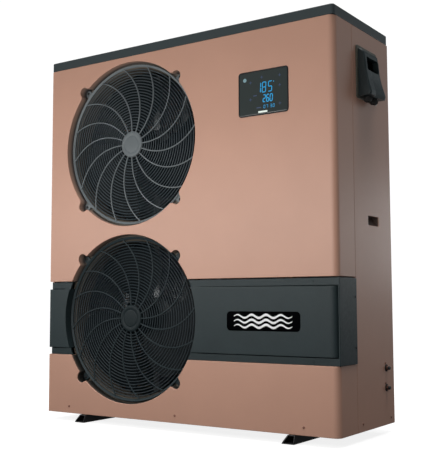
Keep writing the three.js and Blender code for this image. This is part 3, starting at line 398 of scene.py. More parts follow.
# Copper paint darkened for the grip scoop: painted shade.
finish(moulded, "grip_shade", (0.17, 0.12, 0.1), 0.6, 0.4, 0.2, slot="copper_paint")
finish(powder_coat, "paint_screw", (0.3, 0.14, 0.1), 0.4, slot="copper_paint")
finish(fibreglass_board, "circuit_board")
finish(bare_metal, "zinc_screw", None, 0.32, (1, 1, 1), 0.6)
finish(studio_floor, "floor", FLOOR_COLOR)
finish(gloss_panel, "display_window", (0.04, 0.05, 0.049))
finish(lit, "display_light", UNLIT, (0.02, 0.42, 0.85), 0.9)
finish(lit, "display_dim", UNLIT, (0.12, 0.2, 0.4), 0.3, slot="display_light")
finish(lit, "display_pale", UNLIT, (0.3, 0.5, 0.55), 0.6, slot="display_light")
finish(lit, "display_white", UNLIT, (0.9, 1.0, 0.92), 0.95, slot="display_light")

# ---- mesh tools

WELD = 1e-4
MITRE_LIMIT = 0.2
EDGE_STEPS, FOLD_STEPS = 3, 4

def link_piece(name, bm, look, node=None, body="cabinet", sharp=35, lining=None):
    """A drawing in row metres as a piece, smooth but for edges sharper than that angle."""
    mesh = bpy.data.meshes.new(name)
    bm.to_mesh(mesh)
    bm.free()
    mesh.polygons.foreach_set("use_smooth", [True] * len(mesh.polygons))
    mesh.set_sharp_from_angle(angle=radians(sharp))
    # The second finish, when given, paints shade on the faces given it.
    for used in filter(None, (look, lining)):
        mesh.materials.append(FINISHES[used])
    piece = new_object(name, mesh)
    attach(piece, body)
    if node:
        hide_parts(node)
    return piece


def open_piece(name, bm, *settings, **more):
    """A drawing in cabinet millimetres as a piece, its faces turned as they are drawn."""
    bm.transform(TO_ROW)
    bm.normal_update()
    return link_piece(name, bm, *settings, **more)


def make_piece(name, shapes, *settings, **more):
    """A piece of solid shapes."""
    return open_piece(name, draw(shapes), *settings, **more)


def add_modifier(piece, kind, **settings):
    modifier = piece.modifiers.new(kind.lower(), kind)
    for key, value in settings.items():
        setattr(modifier, key, value)


def make_sheet(name, bm, look, node=None, thickness=SHEET, lining=None):
    """An open drawing as sheet of that thickness, grown inwards."""
    piece = open_piece(name, bm, look, node, lining=lining)
    add_modifier(piece, "SOLIDIFY", thickness=thickness * MM, offset=-1, use_even_offset=False)
    add_modifier(piece, "WEIGHTED_NORMAL", keep_sharp=True, weight=50)


def arc(cx, cy, radius, start, end, steps):
    """Points on an arc, angles in degrees."""
    points = []
    for step in range(steps + 1):
        angle = radians(start + (end - start) * step / steps)
        points.append((cx + radius * cos(angle), cy + radius * sin(angle)))
    return points


def circle(cx, cy, radius, steps):
    return arc(cx, cy, radius, 0, 360, steps)[:-1]


def rect(x0, x1, y0, y1):
    return [(x0, y0), (x1, y0), (x1, y1), (x0, y1)]


def rounded_rect(x0, x1, y0, y1, radius, steps=6, left_r=None):
    """Counter-clockwise loop from the (x1, y0) corner; the corners at x0 may differ in radius."""
    left = left_r or radius
    loop = arc(x1 - radius, y0 + radius, radius, -90, 0, steps)
    loop += arc(x1 - radius, y1 - radius, radius, 0, 90, steps)
    loop += arc(x0 + left, y1 - left, left, 90, 180, steps)
    loop += arc(x0 + left, y0 + left, left, 180, 270, steps)
    return loop


def offset_loop(loop, distance):
    """A counter-clockwise loop moved outwards, with mitred corners."""
    moved = []
    for i, point in enumerate(loop):
        here = Vector(point)
        before = here - Vector(loop[i - 1])
        after = Vector(loop[(i + 1) % len(loop)]) - here
        n1 = Vector((before.y, -before.x)).normalized()
        n2 = Vector((after.y, -after.x)).normalized()
        mitre = (n1 + n2) / max(MITRE_LIMIT, 1 + n1.dot(n2))
        moved.append(tuple(here + mitre * distance))
    return moved


def at_depth(loop, y):
    return [(x, y, z) for x, z in loop]


def at_side(loop, x):
    return [(x, y, z) for y, z in loop]


def loft(bm, rings, cap_first=False, cap_last=False):
    rows = [[bm.verts.new(point) for point in ring] for ring in rings]
    for row, following in zip(rows, rows[1:]):
        for i in range(len(row)):
            j = (i + 1) % len(row)
            bm.faces.new((row[i], row[j], following[j], following[i]))
    if cap_first:
        bm.faces.new(reversed(rows[0]))
    if cap_last:
        bm.faces.new(rows[-1])
    return rows


class Endless(list):
    """Rings of a shape whose last ring meets its first."""


def draw(shapes):
    """A drawing of solid shapes, each a list of rings, with its faces turned outwards."""
    bm = bmesh.new()
    for rings in shapes:
        if isinstance(rings, Endless):
            start = len(bm.verts)
            loft(bm, rings + rings[:1])
            bm.verts.ensure_lookup_table()
            bmesh.ops.remove_doubles(bm, verts=bm.verts[start:], dist=WELD)
        else:
            loft(bm, rings, True, True)
    bmesh.ops.recalc_face_normals(bm, faces=bm.faces)
    return bm


# Where a small piece's own u, v and outward w axes point, by the way it faces.
FACINGS = {
    "front": (X, Z, -Y),
    "rear": (-X, Z, Y),
    "right": (Y, Z, X),
    "left": (-Y, Z, -X),
    "back": (X, Z, Y),
    "up": (X, Y, Z),
}


def ring_at(facing, centre, radius, height, segments):
    """Points about a centre, at a radius or a function of the angle, moved out by a height."""
    across, upward, outward = FACINGS[facing]
    ring = []
    for i in range(segments):
        around = WHOLE * i / segments
        reach = radius(around) if callable(radius) else radius
        swing = across * reach * cos(around) + upward * reach * sin(around)
        ring.append(Vector(centre) + swing + outward * height)
    return ring


def stacked(facing, centre, profile, segments):
    """Rings of (radius or radius function, height) standing on a face."""
    return [ring_at(facing, centre, *ring, segments) for ring in profile]


def turned(profile, centre, segments=64, facing="back", scallop=None):
    """A closed profile of (radius, distance along the axis) turned about that axis."""
    rings = Endless()
    for radius, along in profile:
        reach = (lambda around: radius * scallop(around)) if scallop else radius
        rings.append(ring_at(facing, centre, reach, along, segments))
    return rings


def sweep(path, radius, sides=8, closed=False):
    """A round wire along a list of points."""
    points = [Vector(point) for point in path]
    count = len(points)
    rings = []
    normal = None
    for i, point in enumerate(points):
        if closed:
            tangent = (points[(i + 1) % count] - points[i - 1]).normalized()
        else:
            tangent = (points[min(i + 1, count - 1)] - points[max(i - 1, 0)]).normalized()
        if normal is None:
            normal = tangent.orthogonal().normalized()
        normal = (normal - tangent * normal.dot(tangent)).normalized()
        side = tangent.cross(normal)
        turns = [WHOLE * k / sides for k in range(sides)]
        rings.append([point + (normal * cos(turn) + side * sin(turn)) * radius for turn in turns])
    return Endless(rings) if closed else rings


def slab(loop, front, back, radius):
    """A flat plate seen from the front as (x, z), with softened front edges."""
    rings = [at_depth(loop, back)]
    for step in range(EDGE_STEPS + 1):
        turn = QUARTER * step / EDGE_STEPS
        inset = radius * (1 - cos(turn))
        rings.append(at_depth(offset_loop(loop, -inset), front + radius * (1 - sin(turn))))
    return rings


class Pressing:
    """A sheet seen from the front as (x, z), with folded edges and holes pressed inwards."""

    def __init__(self, outline, edge_r=1.6, depth=LEFT_RETURN):
        self.bm = bmesh.new()
        self.rims = []
        self.press(outline, 1, edge_r, depth)

    def press(self, loop, side, radius, depth):
        depth_at = depth if callable(depth) else lambda x, z: depth
        rings = []
        for step in range(FOLD_STEPS + 1):
            turn = QUARTER * step / FOLD_STEPS
            inset = radius * (1 - sin(turn))
            rings.append(at_depth(offset_loop(loop, -side * inset), radius * (1 - cos(turn))))
        rings.append([(x, depth_at(x, z), z) for x, z in loop])
        rows = loft(self.bm, rings)
        self.rims.append(rows[0])
        return rows

    def hole(self, loop, radius, depth, floor=False):
        rows = self.press(loop, -1, radius, depth)
        if floor:
            self.bm.faces.new(rows[-1])

    def finished(self):
        """Fills the flat front between the rims and turns every face outwards."""
        bm = self.bm
        edges = []
        for rim in self.rims:
            edges += [bm.edges.get(pair) for pair in zip(rim, rim[1:] + rim[:1])]
        bmesh.ops.triangle_fill(bm, edges=edges, use_beauty=True, normal=-Y)
        bm.faces.ensure_lookup_table()
        bmesh.ops.recalc_face_normals(bm, faces=bm.faces)
        turn_out(bm, -Y)
        return bm


def turn_out(bm, outward):
    """Reverses every face if the largest flat one looks the wrong way."""
    bm.normal_update()
    largest = max(bm.faces, key=lambda face: abs(face.normal.dot(outward)) * face.calc_area())
    if largest.normal.dot(outward) < 0:
        bmesh.ops.reverse_faces(bm, faces=bm.faces)


def bend_back(bm, start, radius, steps):
    """Wraps the sheet beyond x = start round a vertical corner of that radius."""
    for step in range(steps + 1):
        place = X * (start + radius * QUARTER * step / steps)
        parts = bm.verts[:] + bm.edges[:] + bm.faces[:]
        bmesh.ops.bisect_plane(bm, geom=parts, plane_co=place, plane_no=X)
    for vert in bm.verts:
        run = vert.co.x - start
        if run <= 0:
            continue
        turn = min(run / radius, QUARTER)
        straight = max(0, run - radius * QUARTER)
        reach = radius - vert.co.y
        vert.co.x = start + reach * sin(turn)
        vert.co.y = radius - reach * cos(turn) + straight
    bmesh.ops.dissolve_degenerate(bm, dist=0.01, edges=bm.edges)


def move(bm, rule):
    for vert in bm.verts:
        vert.co = rule(*vert.co)


def face_rear(bm):
    """Turns a drawing made as seen from behind into its place there."""
    move(bm, lambda x, y, z: (WIDTH - x, DEPTH - y, z))


# ---- fan openings

OPENING_STEPS, LOBE_STEPS = 100, 10
JUST_INSIDE = 0.999

def opening_reach(angle):
    """Distance from the fan's centre to the opening's edge in that direction, in degrees."""
    reach = OPENING_R
    for lobe in DIAGONALS:
        away = radians((angle - lobe + 180) % 360 - 180)
        across = LOBE_AT * sin(away)
        if abs(across) < LOBE_R and abs(away) < 1:
            reach = max(reach, LOBE_AT * cos(away) + sqrt(LOBE_R**2 - across**2))
    return reach


def opening_points(fan, start, end):
    """The opening's edge from one angle to another, closely spaced at the lobes."""
    low, high = min(start, end), max(start, end)
    angles = {low, high}
    angles.update(low + (high - low) * i / OPENING_STEPS for i in range(OPENING_STEPS + 1))
    half_lobe = degrees(asin(LOBE_R / LOBE_AT)) * JUST_INSIDE
    shares = [sin(i / LOBE_STEPS * QUARTER) for i in range(-LOBE_STEPS, LOBE_STEPS + 1)]
    for turn in (-360, 0, 360):
        for lobe in DIAGONALS:
            near = [lobe + turn + half_lobe * share for share in shares]
            angles.update(angle for angle in near if low < angle < high)
    cx, cz = FANS[fan]
    points = []
    for angle in sorted(angles, reverse=start > end):
        reach = opening_reach(angle)
        points.append((cx + reach * cos(radians(angle)), cz + reach * sin(radians(angle))))
    return points


def opening_angle(fan, z):
    """Angle at which the opening's edge crosses a height."""
    return degrees(asin((z - FANS[fan][1]) / OPENING_R))


def fan_distance(x, z):
    return min(hypot(x - cx, z - cz) for cx, cz in FANS.values())


def depth_by_opening(x, z):
    """Edges that border a fan opening run back as its collar; others are short folds."""
    return COLLAR_DEPTH if OPENING_R - 1 < fan_distance(x, z) < OPENING_REACH else LEFT_RETURN


# ---- cabinet skins

COLLAR_FOLD = 1.2
SKIN_END = WIDTH - CORNER_R + CORNER_R * QUARTER + RETURN_END - CORNER_R
SIDE_END = DEPTH - REAR_R + REAR_R * QUARTER + REAR_RETURN
LEFT_START = REAR_R - REAR_R * QUARTER - REAR_RETURN
GRIP_BOX = named(frame["record"]["physics"]["openings"], "side_grip")["box_m"]
GRIP_LOW, GRIP_HIGH = (to_cabinet(corner) for corner in GRIP_BOX)
GRIP_CORNER_R = 3
PIPE_HOLE_R = 27
# Screws of the left skin, each in a dimple.
LEFT_SCREWS = [(y, z) for y in (36, DEPTH - 24) for z in (FLOOR + 30, PANEL_TOP - 30)]
DIMPLE_R, DIMPLE_DEPTH = 7, 2.6
LOUVRES, LOUVRE_FIRST, LOUVRE_PITCH = 18, FLOOR + 90, 60
LOUVRE_START, LOUVRE_LENGTH, LOUVRE_HEIGHT = DEPTH - 331, 256, 18
LOUVRE_BLADE = [(5, 19), (6.2, 19.5), (17, 3), (16, 2)]
LID_CORNER_R, LID_RIGHT_R, LID_EDGE_R, LID_STEPS = 3, 10, 4, 6
# Inset and height of the lid's hem over PANEL_TOP, and of its crown over TOP.
LID_HEM = [(3.4, 8), (3.4, 0.2), (2.2, -0.4), (0.8, -0.4), (0, 0.6)]
LID_CROWN = [(18, -0.75), (60, -0.3), (130, 0)]


def make_front_skin(name, skin, node, collar_shade_finish):
    """A pressed copper skin whose faces inside a fan opening take a second finish of painted shade."""
    bm = skin.finished()
    bend_back(bm, WIDTH - CORNER_R, CORNER_R, 14)
    # Faces inside a fan opening, behind the fold, take the painted-shade finish.
    for face in bm.faces:
        middle = face.calc_center_median()
        near = fan_distance(middle.x, middle.z) < OPENING_REACH
        face.material_index = 1 if near and middle.y > COLLAR_FOLD else 0
    make_sheet(name, bm, "copper_paint", node, lining=collar_shade_finish)


def make_upper_skin():
    low, high = BAND_HIGH + GAP, SKIN_TOP
    cross = opening_angle("lower", low)
    outline = opening_points("lower", 180 - cross, cross)
    outline += [(SKIN_END, low), (SKIN_END, high), (0, high), (0, low)]
    skin = Pressing(outline, depth=depth_by_opening)
    skin.hole(opening_points("upper", 0, 360)[:-1], 2.2, COLLAR_DEPTH)
    (x0, _, z0), (x1, _, z1) = extent("display_bezel")
    skin.hole(rounded_rect(x0 + 2, x1 - 2, z0 + 2, z1 - 2, 8), 0.8, 3)
    make_front_skin("upper_skin", skin, "upper_front_panel", "collar_shaded")


def make_lower_skin():
    low, high = FLOOR, BAND_LOW - GAP
    cross = opening_angle("lower", high)
    outline = [(0, high), (0, low), (SKIN_END, low), (SKIN_END, high)]
    outline += opening_points("lower", cross, -180 - cross)
    skin = Pressing(outline, depth=depth_by_opening)
    make_front_skin("lower_skin", skin, "lower_front_panel", "collar_dark")


def make_right_skin():
    panel = Pressing(rect(RETURN_END + GAP, SIDE_END, FLOOR, SKIN_TOP), 1.6, 10)
    grip = rounded_rect(GRIP_LOW.y, GRIP_HIGH.y, GRIP_LOW.z, GRIP_HIGH.z, GRIP_CORNER_R)
    panel.hole(grip, 2, 12)
    bm = panel.finished()
    bend_back(bm, DEPTH - REAR_R, REAR_R, 5)
    move(bm, lambda x, y, z: (WIDTH - y, x, z))
    make_sheet("right_skin", bm, "copper_paint", "right_side_panel")


def make_grip_cup():
    """Moulded finger scoop behind the grip opening, deepest under its upper edge."""
    (_, y0, z0), (_, y1, z1) = GRIP_LOW, GRIP_HIGH
    rings = []
    for inset, depth_high, depth_low in ((-1.4, 3, 3), (0.2, 3, 3), (1.2, 26, 5)):
        ring = []
        for y, z in rounded_rect(y0 + inset, y1 - inset, z0 + inset, z1 - inset, GRIP_CORNER_R):
            share = (z - z0) / (z1 - z0)
            ring.append((SIDE_FACE - depth_low - (depth_high - depth_low) * share, y, z))
        rings.append(ring)
    bm = bmesh.new()
    loft(bm, rings, cap_last=True)
    turn_out(bm, X)
    # The scoop's darkened copper paints the shade inside the grip.
    make_sheet("grip_cup", bm, "grip_shade")


def make_left_skin():
    """Left side skin: pressed slots with a sloping blade behind each."""
    panel = Pressing(rect(LEFT_START, DEPTH - LEFT_RETURN - GAP, FLOOR, SKIN_TOP), 1.6, 10)
    blades = []
    end = LOUVRE_START + LOUVRE_LENGTH
    for row in range(LOUVRES):
        z = LOUVRE_FIRST + row * LOUVRE_PITCH
        panel.hole(rounded_rect(LOUVRE_START, end, z, z + LOUVRE_HEIGHT, 8, 5), 1.8, 5)
        ends = (DEPTH - LOUVRE_START - 4, DEPTH - end + 4)
        blades.append([[(x, y, z + up) for x, up in LOUVRE_BLADE] for y in ends])
    for y, z in LEFT_SCREWS:
        panel.hole(circle(DEPTH - y, z, DIMPLE_R, 24), 1, DIMPLE_DEPTH, floor=True)
    bm = panel.finished()
    move(bm, lambda x, y, z: (DEPTH - x, y, z))
    bend_back(bm, DEPTH - REAR_R, REAR_R, 5)
    move(bm, lambda x, y, z: (y, x, z))
    bmesh.ops.recalc_face_normals(bm, faces=bm.faces)
    turn_out(bm, -X)
    make_sheet("left_skin", bm, "copper_paint", "left_side_panel")
    make_piece("left_louvre_blades", blades, "galvanised_steel")


def make_rear_skin():
    (x0, _, low), (x1, _, high) = extent("rear_panel")
    panel = Pressing(rect(WIDTH - x1, WIDTH - x0, low, high), 1.2, 8)
    for end in ("in", "out"):
        centre = joint_place("union_nut_" + end + "_turn")
        panel.hole(circle(WIDTH - centre.x, centre.z, PIPE_HOLE_R, 48), 1.0, 4)
    bm = panel.finished()
    face_rear(bm)
    turn_out(bm, Y)
    make_sheet("rear_skin", bm, "copper_paint", "rear_panel")


def make_lid():
    """Pressed lid: rolled top edge, barely crowned top and a hem that turns in at the bottom."""
    places = [(inset, PANEL_TOP + up) for inset, up in LID_HEM]
    for step in range(LID_STEPS + 1):
        turn = QUARTER * step / LID_STEPS
        places.append((LID_EDGE_R * (1 - cos(turn)), TOP - 0.9 - LID_EDGE_R * (1 - sin(turn))))
    places += [(inset, TOP + up) for inset, up in LID_CROWN]
    rings = []
    for inset, z in places:
        right_r = max(LID_RIGHT_R - inset, LID_CORNER_R)
        loop = rounded_rect(inset, WIDTH - inset, inset, DEPTH - inset, right_r, 10, LID_CORNER_R)
        rings.append([(x, y, z) for x, y in loop])
    bm = bmesh.new()
    loft(bm, rings, cap_last=True)
    turn_out(bm, Z)
    make_sheet("lid", bm, "lid_paint", "top_cover", 1.4)


# ---- dark band

WRAP_X = WIDTH + 3
WRAP_R = 1.6
WRAP_END = WRAP_X - WRAP_R + WRAP_R * QUARTER + (RETURN_END - 1) - RAIL_INSET - WRAP_R
RAIL_START = 6.5
RAIL_TOP = BAND_HIGH - 2.6  # leaves a shadow gap under the upper skin
RAIL_SHEET, COVER_SHEET = 2.2, 1.6
COVER_END = WIDTH - 3
COVER_END_R = 24
COVER_GAP = 2.4
TRAY_DEPTH = 14
BADGE_R = 12
WAVES, WAVE_PITCH, WAVE_STEPS, WAVE_CRESTS = (-1, 0, 1), 14.5, 60, 4
WAVE_RISE, WAVE_HALF, WAVE_MARGIN = 4.6, 3.7, 26


def band_ends(low, high):
    """The lower fan opening's edge between two heights, on its right side and on its left."""
    down, up = opening_angle("lower", low), opening_angle("lower", high)
    return opening_points("lower", up, down), opening_points("lower", -180 - down, -180 - up)


def make_rails(side, outline, depth, tray_start, tray_end):
    """Recessed rails round the sunk tray that the cover sits over."""
    rails = Pressing(outline, 1.0, depth)
    low, high = COVER_LOW - COVER_GAP, COVER_HIGH + COVER_GAP
    rails.hole(rounded_rect(tray_start, tray_end, low, high, 1, 2), 0.4, TRAY_DEPTH, floor=True)
    bm = rails.finished()
    if side == "right":
        bend_back(bm, WRAP_X - WRAP_R, WRAP_R, 5)
    bmesh.ops.translate(bm, vec=Y * RAIL_INSET, verts=bm.verts)
    make_sheet("band_rails_" + side, bm, "band_plastic", "band_channel_" + side, RAIL_SHEET)


def make_band_channel():
    low, high = BAND_LOW, RAIL_TOP
    right, left = band_ends(low, high)
    cx = FANS["lower"][0]
    right = [(WRAP_END, low), (WRAP_END, high)] + right
    make_rails("right", right, 4, cx + OPENING_R + 6, COVER_END + COVER_GAP)
    left = [(RAIL_START, high), (RAIL_START, low)] + left
    make_rails("left", left, 6, RAIL_START + 5, cx - OPENING_R - 9)


def cover_depth(x, z):
    return COLLAR_DEPTH if abs(fan_distance(x, z) - OPENING_R) < 1 else RAIL_INSET + 4


def make_band_cover():
    low, high = COVER_LOW, COVER_HIGH
    right, left = band_ends(low, high)
    start = COVER_END - COVER_END_R
    end = start + COVER_END_R * QUARTER
    cover = Pressing([(end, low), (end, high)] + right, 1.4, cover_depth)
    (x0, _, z0), (x1, _, z1) = extent("badge_plate")
    seat = rounded_rect(x0 - 0.4, x1 + 0.4, z0 - 0.4, z1 + 0.4, BADGE_R + 0.4, 8)
    cover.hole(seat, 0.5, 1.2, floor=True)
    bm = cover.finished()
    bend_back(bm, start, COVER_END_R, 12)
    make_sheet("band_cover_long", bm, "band_plastic", "band_cover_right", COVER_SHEET)
    bm = Pressing([(0, high), (0, low)] + left, 1.4, cover_depth).finished()
    make_sheet("band_cover_short", bm, "band_plastic", "band_cover_left", COVER_SHEET)


def make_badge():
    (x0, front, z0), (x1, back, z1) = extent("badge_plate")
    blank = slab(rounded_rect(x0, x1, z0, z1, BADGE_R, 8), front + 0.3, back, 0.7)
    make_piece("badge_blank", [blank], "badge_black", "badge_plate")
    waves = []
    length = x1 - x0 - 2 * WAVE_MARGIN
    for row in WAVES:
        upper, lower = [], []
        for i in range(WAVE_STEPS + 1):
            share = i / WAVE_STEPS
            x = x0 + WAVE_MARGIN + length * share
            height = (z0 + z1) / 2 + row * WAVE_PITCH + sin(share * WAVE_CRESTS * WHOLE) * WAVE_RISE
            half = WAVE_HALF * sin(pi * min(0.97, max(0.03, share))) ** 0.4
            upper.append((x, height + half))
            lower.append((x, height - half))
        waves.append(slab(lower + upper[::-1], front, front + 0.6, 0.1))
    make_piece("badge_waves", waves, "badge_pale")


# ---- solids and screws

CHAMFER_ANGLE = 32
SCREW_SIDES = 32
# Outline of a pan head as shares of its radius and height.
SCREW_HEAD = [(1, 0), (1, 0.35), (0.94, 0.62), (0.78, 0.86), (0.6, 0.97)]


def carved(*parts):
    """A drawing of the first part's shapes with the other parts' taken out of it."""
    made = []
    for shapes in parts:
        bm = draw(shapes)
        mesh = bpy.data.meshes.new("carved")
        bm.to_mesh(mesh)
        bm.free()
        made.append(new_object("carved", mesh))
    for tool in made[1:]:
        add_modifier(made[0], "BOOLEAN", object=tool, operation="DIFFERENCE", solver="EXACT")
    evaluated = made[0].evaluated_get(bpy.context.evaluated_depsgraph_get())
    bm = bmesh.new()
    bm.from_mesh(evaluated.to_mesh())
    evaluated.to_mesh_clear()
    for part in made:
        bpy.data.meshes.remove(part.data)
    bmesh.ops.recalc_face_normals(bm, faces=bm.faces)
    return bm


def chamfered(piece, width, segments):
    add_modifier(
        piece, "BEVEL", width=width * MM, segments=segments, limit_method="ANGLE",
        angle_limit=radians(CHAMFER_ANGLE), harden_normals=True,
    )


def refined(node, look, width):
    """A CAD node's own shape with its hard edges rounded."""
    bm = bmesh.new()
    bm.from_mesh(frame["nodes"][node].data)
    bmesh.ops.remove_doubles(bm, verts=bm.verts, dist=1e-6)
    bmesh.ops.dissolve_limit(bm, angle_limit=radians(1), verts=bm.verts, edges=bm.edges)
    chamfered(link_piece(node + "_shell", bm, look, node, sharp=CHAMFER_ANGLE), width, 2)


def cross_recess(size):
    return lambda around: size * (0.34 + 0.66 * abs(cos(2 * around)) ** 5)


def screws(name, look, facing, places, radius, height):
    """Pan-head screws with a cross recess, standing on a face."""
    recess = radius * 0.56
    rings = [(radius * 0.5, -1)] + [(radius * wide, height * high) for wide, high in SCREW_HEAD]
    rings += [(cross_recess(recess), height), (cross_recess(recess * 0.55), height * 0.25)]
    heads = [stacked(facing, place, rings, SCREW_SIDES) for place in places]
    make_piece(name, heads, look, sharp=28)


# ---- fans

SPOKES, SPOKE_STEPS = 16, 22
SPOKE_SWEEP, SPOKE_CURVE = radians(30.5), 1.55
SPOKE_W, SPOKE_T, SPOKE_EDGE = 3.9, 3.2, 0.7
HUB_R = 44
RIM_IN = 261.5
RING_FIRST, RING_LAST, RING_COUNT = 53.2, 253.3, 22
RING_WIRE_R, RING_DEPTH = 1.75, 6
TAB_AT, TAB_R, TAB_FRONT = LOBE_AT - 3, 12, 5.5
HUB_PROFILE = [(0.01, 0.4), (24, 0.4), (26, 0.6), (27.5, 1.6), (29.5, 1.6), (31, 0.3), (38, 0.2)]
HUB_PROFILE += [(42, 0.9), (HUB_R, 3), (HUB_R, 7.6), (40, 7.9), (38, 5), (0.01, 4.6)]
RIM_PROFILE = [(RIM_IN, 6.2), (RIM_IN + 0.9, 5.2), (GUARD_R - 1.6, 2.3), (GUARD_R, 3.6)]
RIM_PROFILE += [(GUARD_R, 10.4), (GUARD_R - 2.2, 10.4), (GUARD_R - 2.4, 6.2)]
RIM_PROFILE += [(RIM_IN + 1.5, 8.4), (RIM_IN, 8)]
# The lower fan's guard takes darker copies of the upper's finishes as painted shade.
GUARD_FINISH = {"upper": "grille_grey", "lower": "grille_shade"}
HUB_FINISH = {"upper": "grille_grey", "lower": "hub_shade"}
WIRE_FINISH = {"upper": "guard_wire", "lower": "wire_shade"}
SHROUD_BORE, SHROUD_WALL, SHROUD_MOUTH_R = 256, 3, 8
BLADES, BLADE_TIP, BLADE_ROOT = 3, 246, 57
BLADE_ROWS, BLADE_COLUMNS = 14, 16


def fan_point(fan, radius, angle, y):
    cx, cz = FANS[fan]
    return Vector((cx + radius * cos(angle), y, cz + radius * sin(angle)))


def guard_spoke(fan, start, front):
    """Rings of one flat-faced rib that sweeps round from the hub to the rim."""
    centres = []
    for i in range(SPOKE_STEPS + 1):
        share = i / SPOKE_STEPS
        radius = HUB_R - 3 + (RIM_IN + 4 - HUB_R) * share
        centres.append(fan_point(fan, radius, start + SPOKE_SWEEP * share**SPOKE_CURVE, front))
    half, edge = SPOKE_W / 2, SPOKE_W / 2 - SPOKE_EDGE
    section = [(-half, SPOKE_T), (-half, SPOKE_EDGE), (-edge, 0), (edge, 0)]
    section += [(half, SPOKE_EDGE), (half, SPOKE_T)]
    rings = []
    for i, centre in enumerate(centres):
        along = (centres[min(i + 1, SPOKE_STEPS)] - centres[max(i - 1, 0)]).normalized()
        across = Vector((-along.z, 0, along.x))
        rings.append([centre + across * side + Y * back for side, back in section])
    return rings


def make_guard(fan):
    node = "grille_" + fan
    front = extent(node)[0].y
    cx, cz = FANS[fan]
    wires = []
    for k in range(RING_COUNT):
        radius = RING_FIRST + (RING_LAST - RING_FIRST) * k / (RING_COUNT - 1)
        steps = int(44 + radius * 0.34)
        path = [fan_point(fan, radius, WHOLE * i / steps, front + RING_DEPTH) for i in range(steps)]
        wires.append(sweep(path, RING_WIRE_R, closed=True))
    make_piece("guard_rings_" + fan, wires, WIRE_FINISH[fan], node)
    starts = [index * WHOLE / SPOKES for index in range(SPOKES)]
    spokes = [guard_spoke(fan, start, front + 2.4) for start in starts]
    make_piece("guard_spokes_" + fan, spokes, GUARD_FINISH[fan], sharp=30)
    centre = (cx, front, cz)
    make_piece("guard_hub_" + fan, [turned(HUB_PROFILE, centre)], HUB_FINISH[fan], sharp=50)
    rim = turned(RIM_PROFILE, centre, 144)
    make_piece("guard_rim_" + fan, [rim], GUARD_FINISH[fan], sharp=30)
    tabs, places = [], []
    tab = arc(TAB_AT, 0, TAB_R, -110, 110, 14) + [(GUARD_R - 4, 17), (GUARD_R - 4, -17)]
    for lobe in DIAGONALS:
        ux, uz = cos(radians(lobe)), sin(radians(lobe))
        loop = [(cx + x * ux - z * uz, cz + x * uz + z * ux) for x, z in tab]
        tabs.append(slab(loop, front + TAB_FRONT, front + 10.4, 0.7))
        places.append(fan_point(fan, TAB_AT + 4, radians(lobe), front + TAB_FRONT))
    make_piece("guard_tabs_" + fan, tabs, GUARD_FINISH[fan])
    screws("guard_screws_" + fan, "black_plastic", "front", places, 4.6, 2.6)


def make_shroud(fan):
    """Bell-mouthed fan ring with a flange that fixes it behind the front skin."""
    cx, cz = FANS[fan]
    node = "fan_shroud_" + fan
    (_, front, _), (_, back, _) = extent(node)
    outer = half_width(node)
    wall_back, mouth = front + SHROUD_WALL, SHROUD_BORE + SHROUD_MOUTH_R + SHROUD_WALL
    inner_r = SHROUD_MOUTH_R + SHROUD_WALL
    profile = [(outer, front), (outer, wall_back), (mouth, wall_back)]
    profile += arc(mouth, front + inner_r, SHROUD_MOUTH_R, 270, 180, 5)
    profile += [(SHROUD_BORE + SHROUD_WALL, back), (SHROUD_BORE, back), (SHROUD_BORE, front + inner_r)]
    profile += arc(mouth, front + inner_r, inner_r, 180, 270, 6)
    ring = turned(profile, (cx, 0, cz), 120)
    # The shroud ring's brownish tone is painted light on the dark fan plastic.
    make_piece("shroud_ring_" + fan, [ring], "shroud_plastic", node, sharp=45)


def blade_point(fan, middle, share, chord, side, tip, y):
    """A point of a sickle blade: share runs from root to tip, chord from -1 to 1 across it."""
    half = 0.6 + 0.1 * sin(share * pi) + 0.1 * share
    trim = max(0, (share - 0.82) / 0.18) ** 2 * 0.16
    turn = middle + 0.3 * share**2 + (half - trim) * chord
    pitch = 20 * chord + 4 * (1 - chord**2)
    thick = side * 1.6 * sqrt(max(0.02, 1 - abs(chord) ** 3))
    return fan_point(fan, BLADE_ROOT + (tip - BLADE_ROOT) * share, turn, y + pitch + thick)


def make_rotor(fan):
    """Broad sickle blades on a domed hub."""
    node = "fan_rotor_" + fan
    cx, cz = FANS[fan]
    (_, front, _), (_, back, _) = extent(node)
    tip = min(BLADE_TIP, half_width(node))
    hub = [(6.3, front), (34, front), (46, front + 2), (55, front + 6.5), (60, front + 15)]
    hub += [(60, back - 1), (57, back), (55, back - 8), (54, front + 18), (12, front + 10)]
    hub += [(6.3, front + 10)]
    shapes = [turned(hub, (cx, 0, cz))]
    chords = [-1 + 2 * j / BLADE_COLUMNS for j in range(BLADE_COLUMNS + 1)]
    section = [(chord, 1) for chord in chords] + [(chord, -1) for chord in reversed(chords)]
    for blade in range(BLADES):
        middle = blade * WHOLE / BLADES + QUARTER
        rings = []
        for i in range(BLADE_ROWS + 1):
            place = (fan, middle, i / BLADE_ROWS)
            y = (front + back) / 2
            rings.append([blade_point(*place, chord, side, tip, y) for chord, side in section])
        shapes.append(rings)
    make_piece("fan_" + fan + "_blades", shapes, "fan_plastic", node, "fan_" + fan, 50)


# ---- display

SEGMENTS_OF = {"0": "abcdef", "1": "bc", "2": "abged", "3": "abgcd", "5": "afgcd", "6": "afgedc"}
SEGMENTS_OF |= {"7": "abc", "8": "abcdefg"}
# Ends of each segment in figure widths and half heights.
SEGMENT_ENDS = {
    "a": ((0, 2), (1, 2)), "b": ((1, 1), (1, 2)), "c": ((1, 0), (1, 1)), "d": ((0, 0), (1, 0)),
    "e": ((0, 0), (0, 1)), "f": ((0, 1), (0, 2)), "g": ((0, 1), (1, 1)),
}
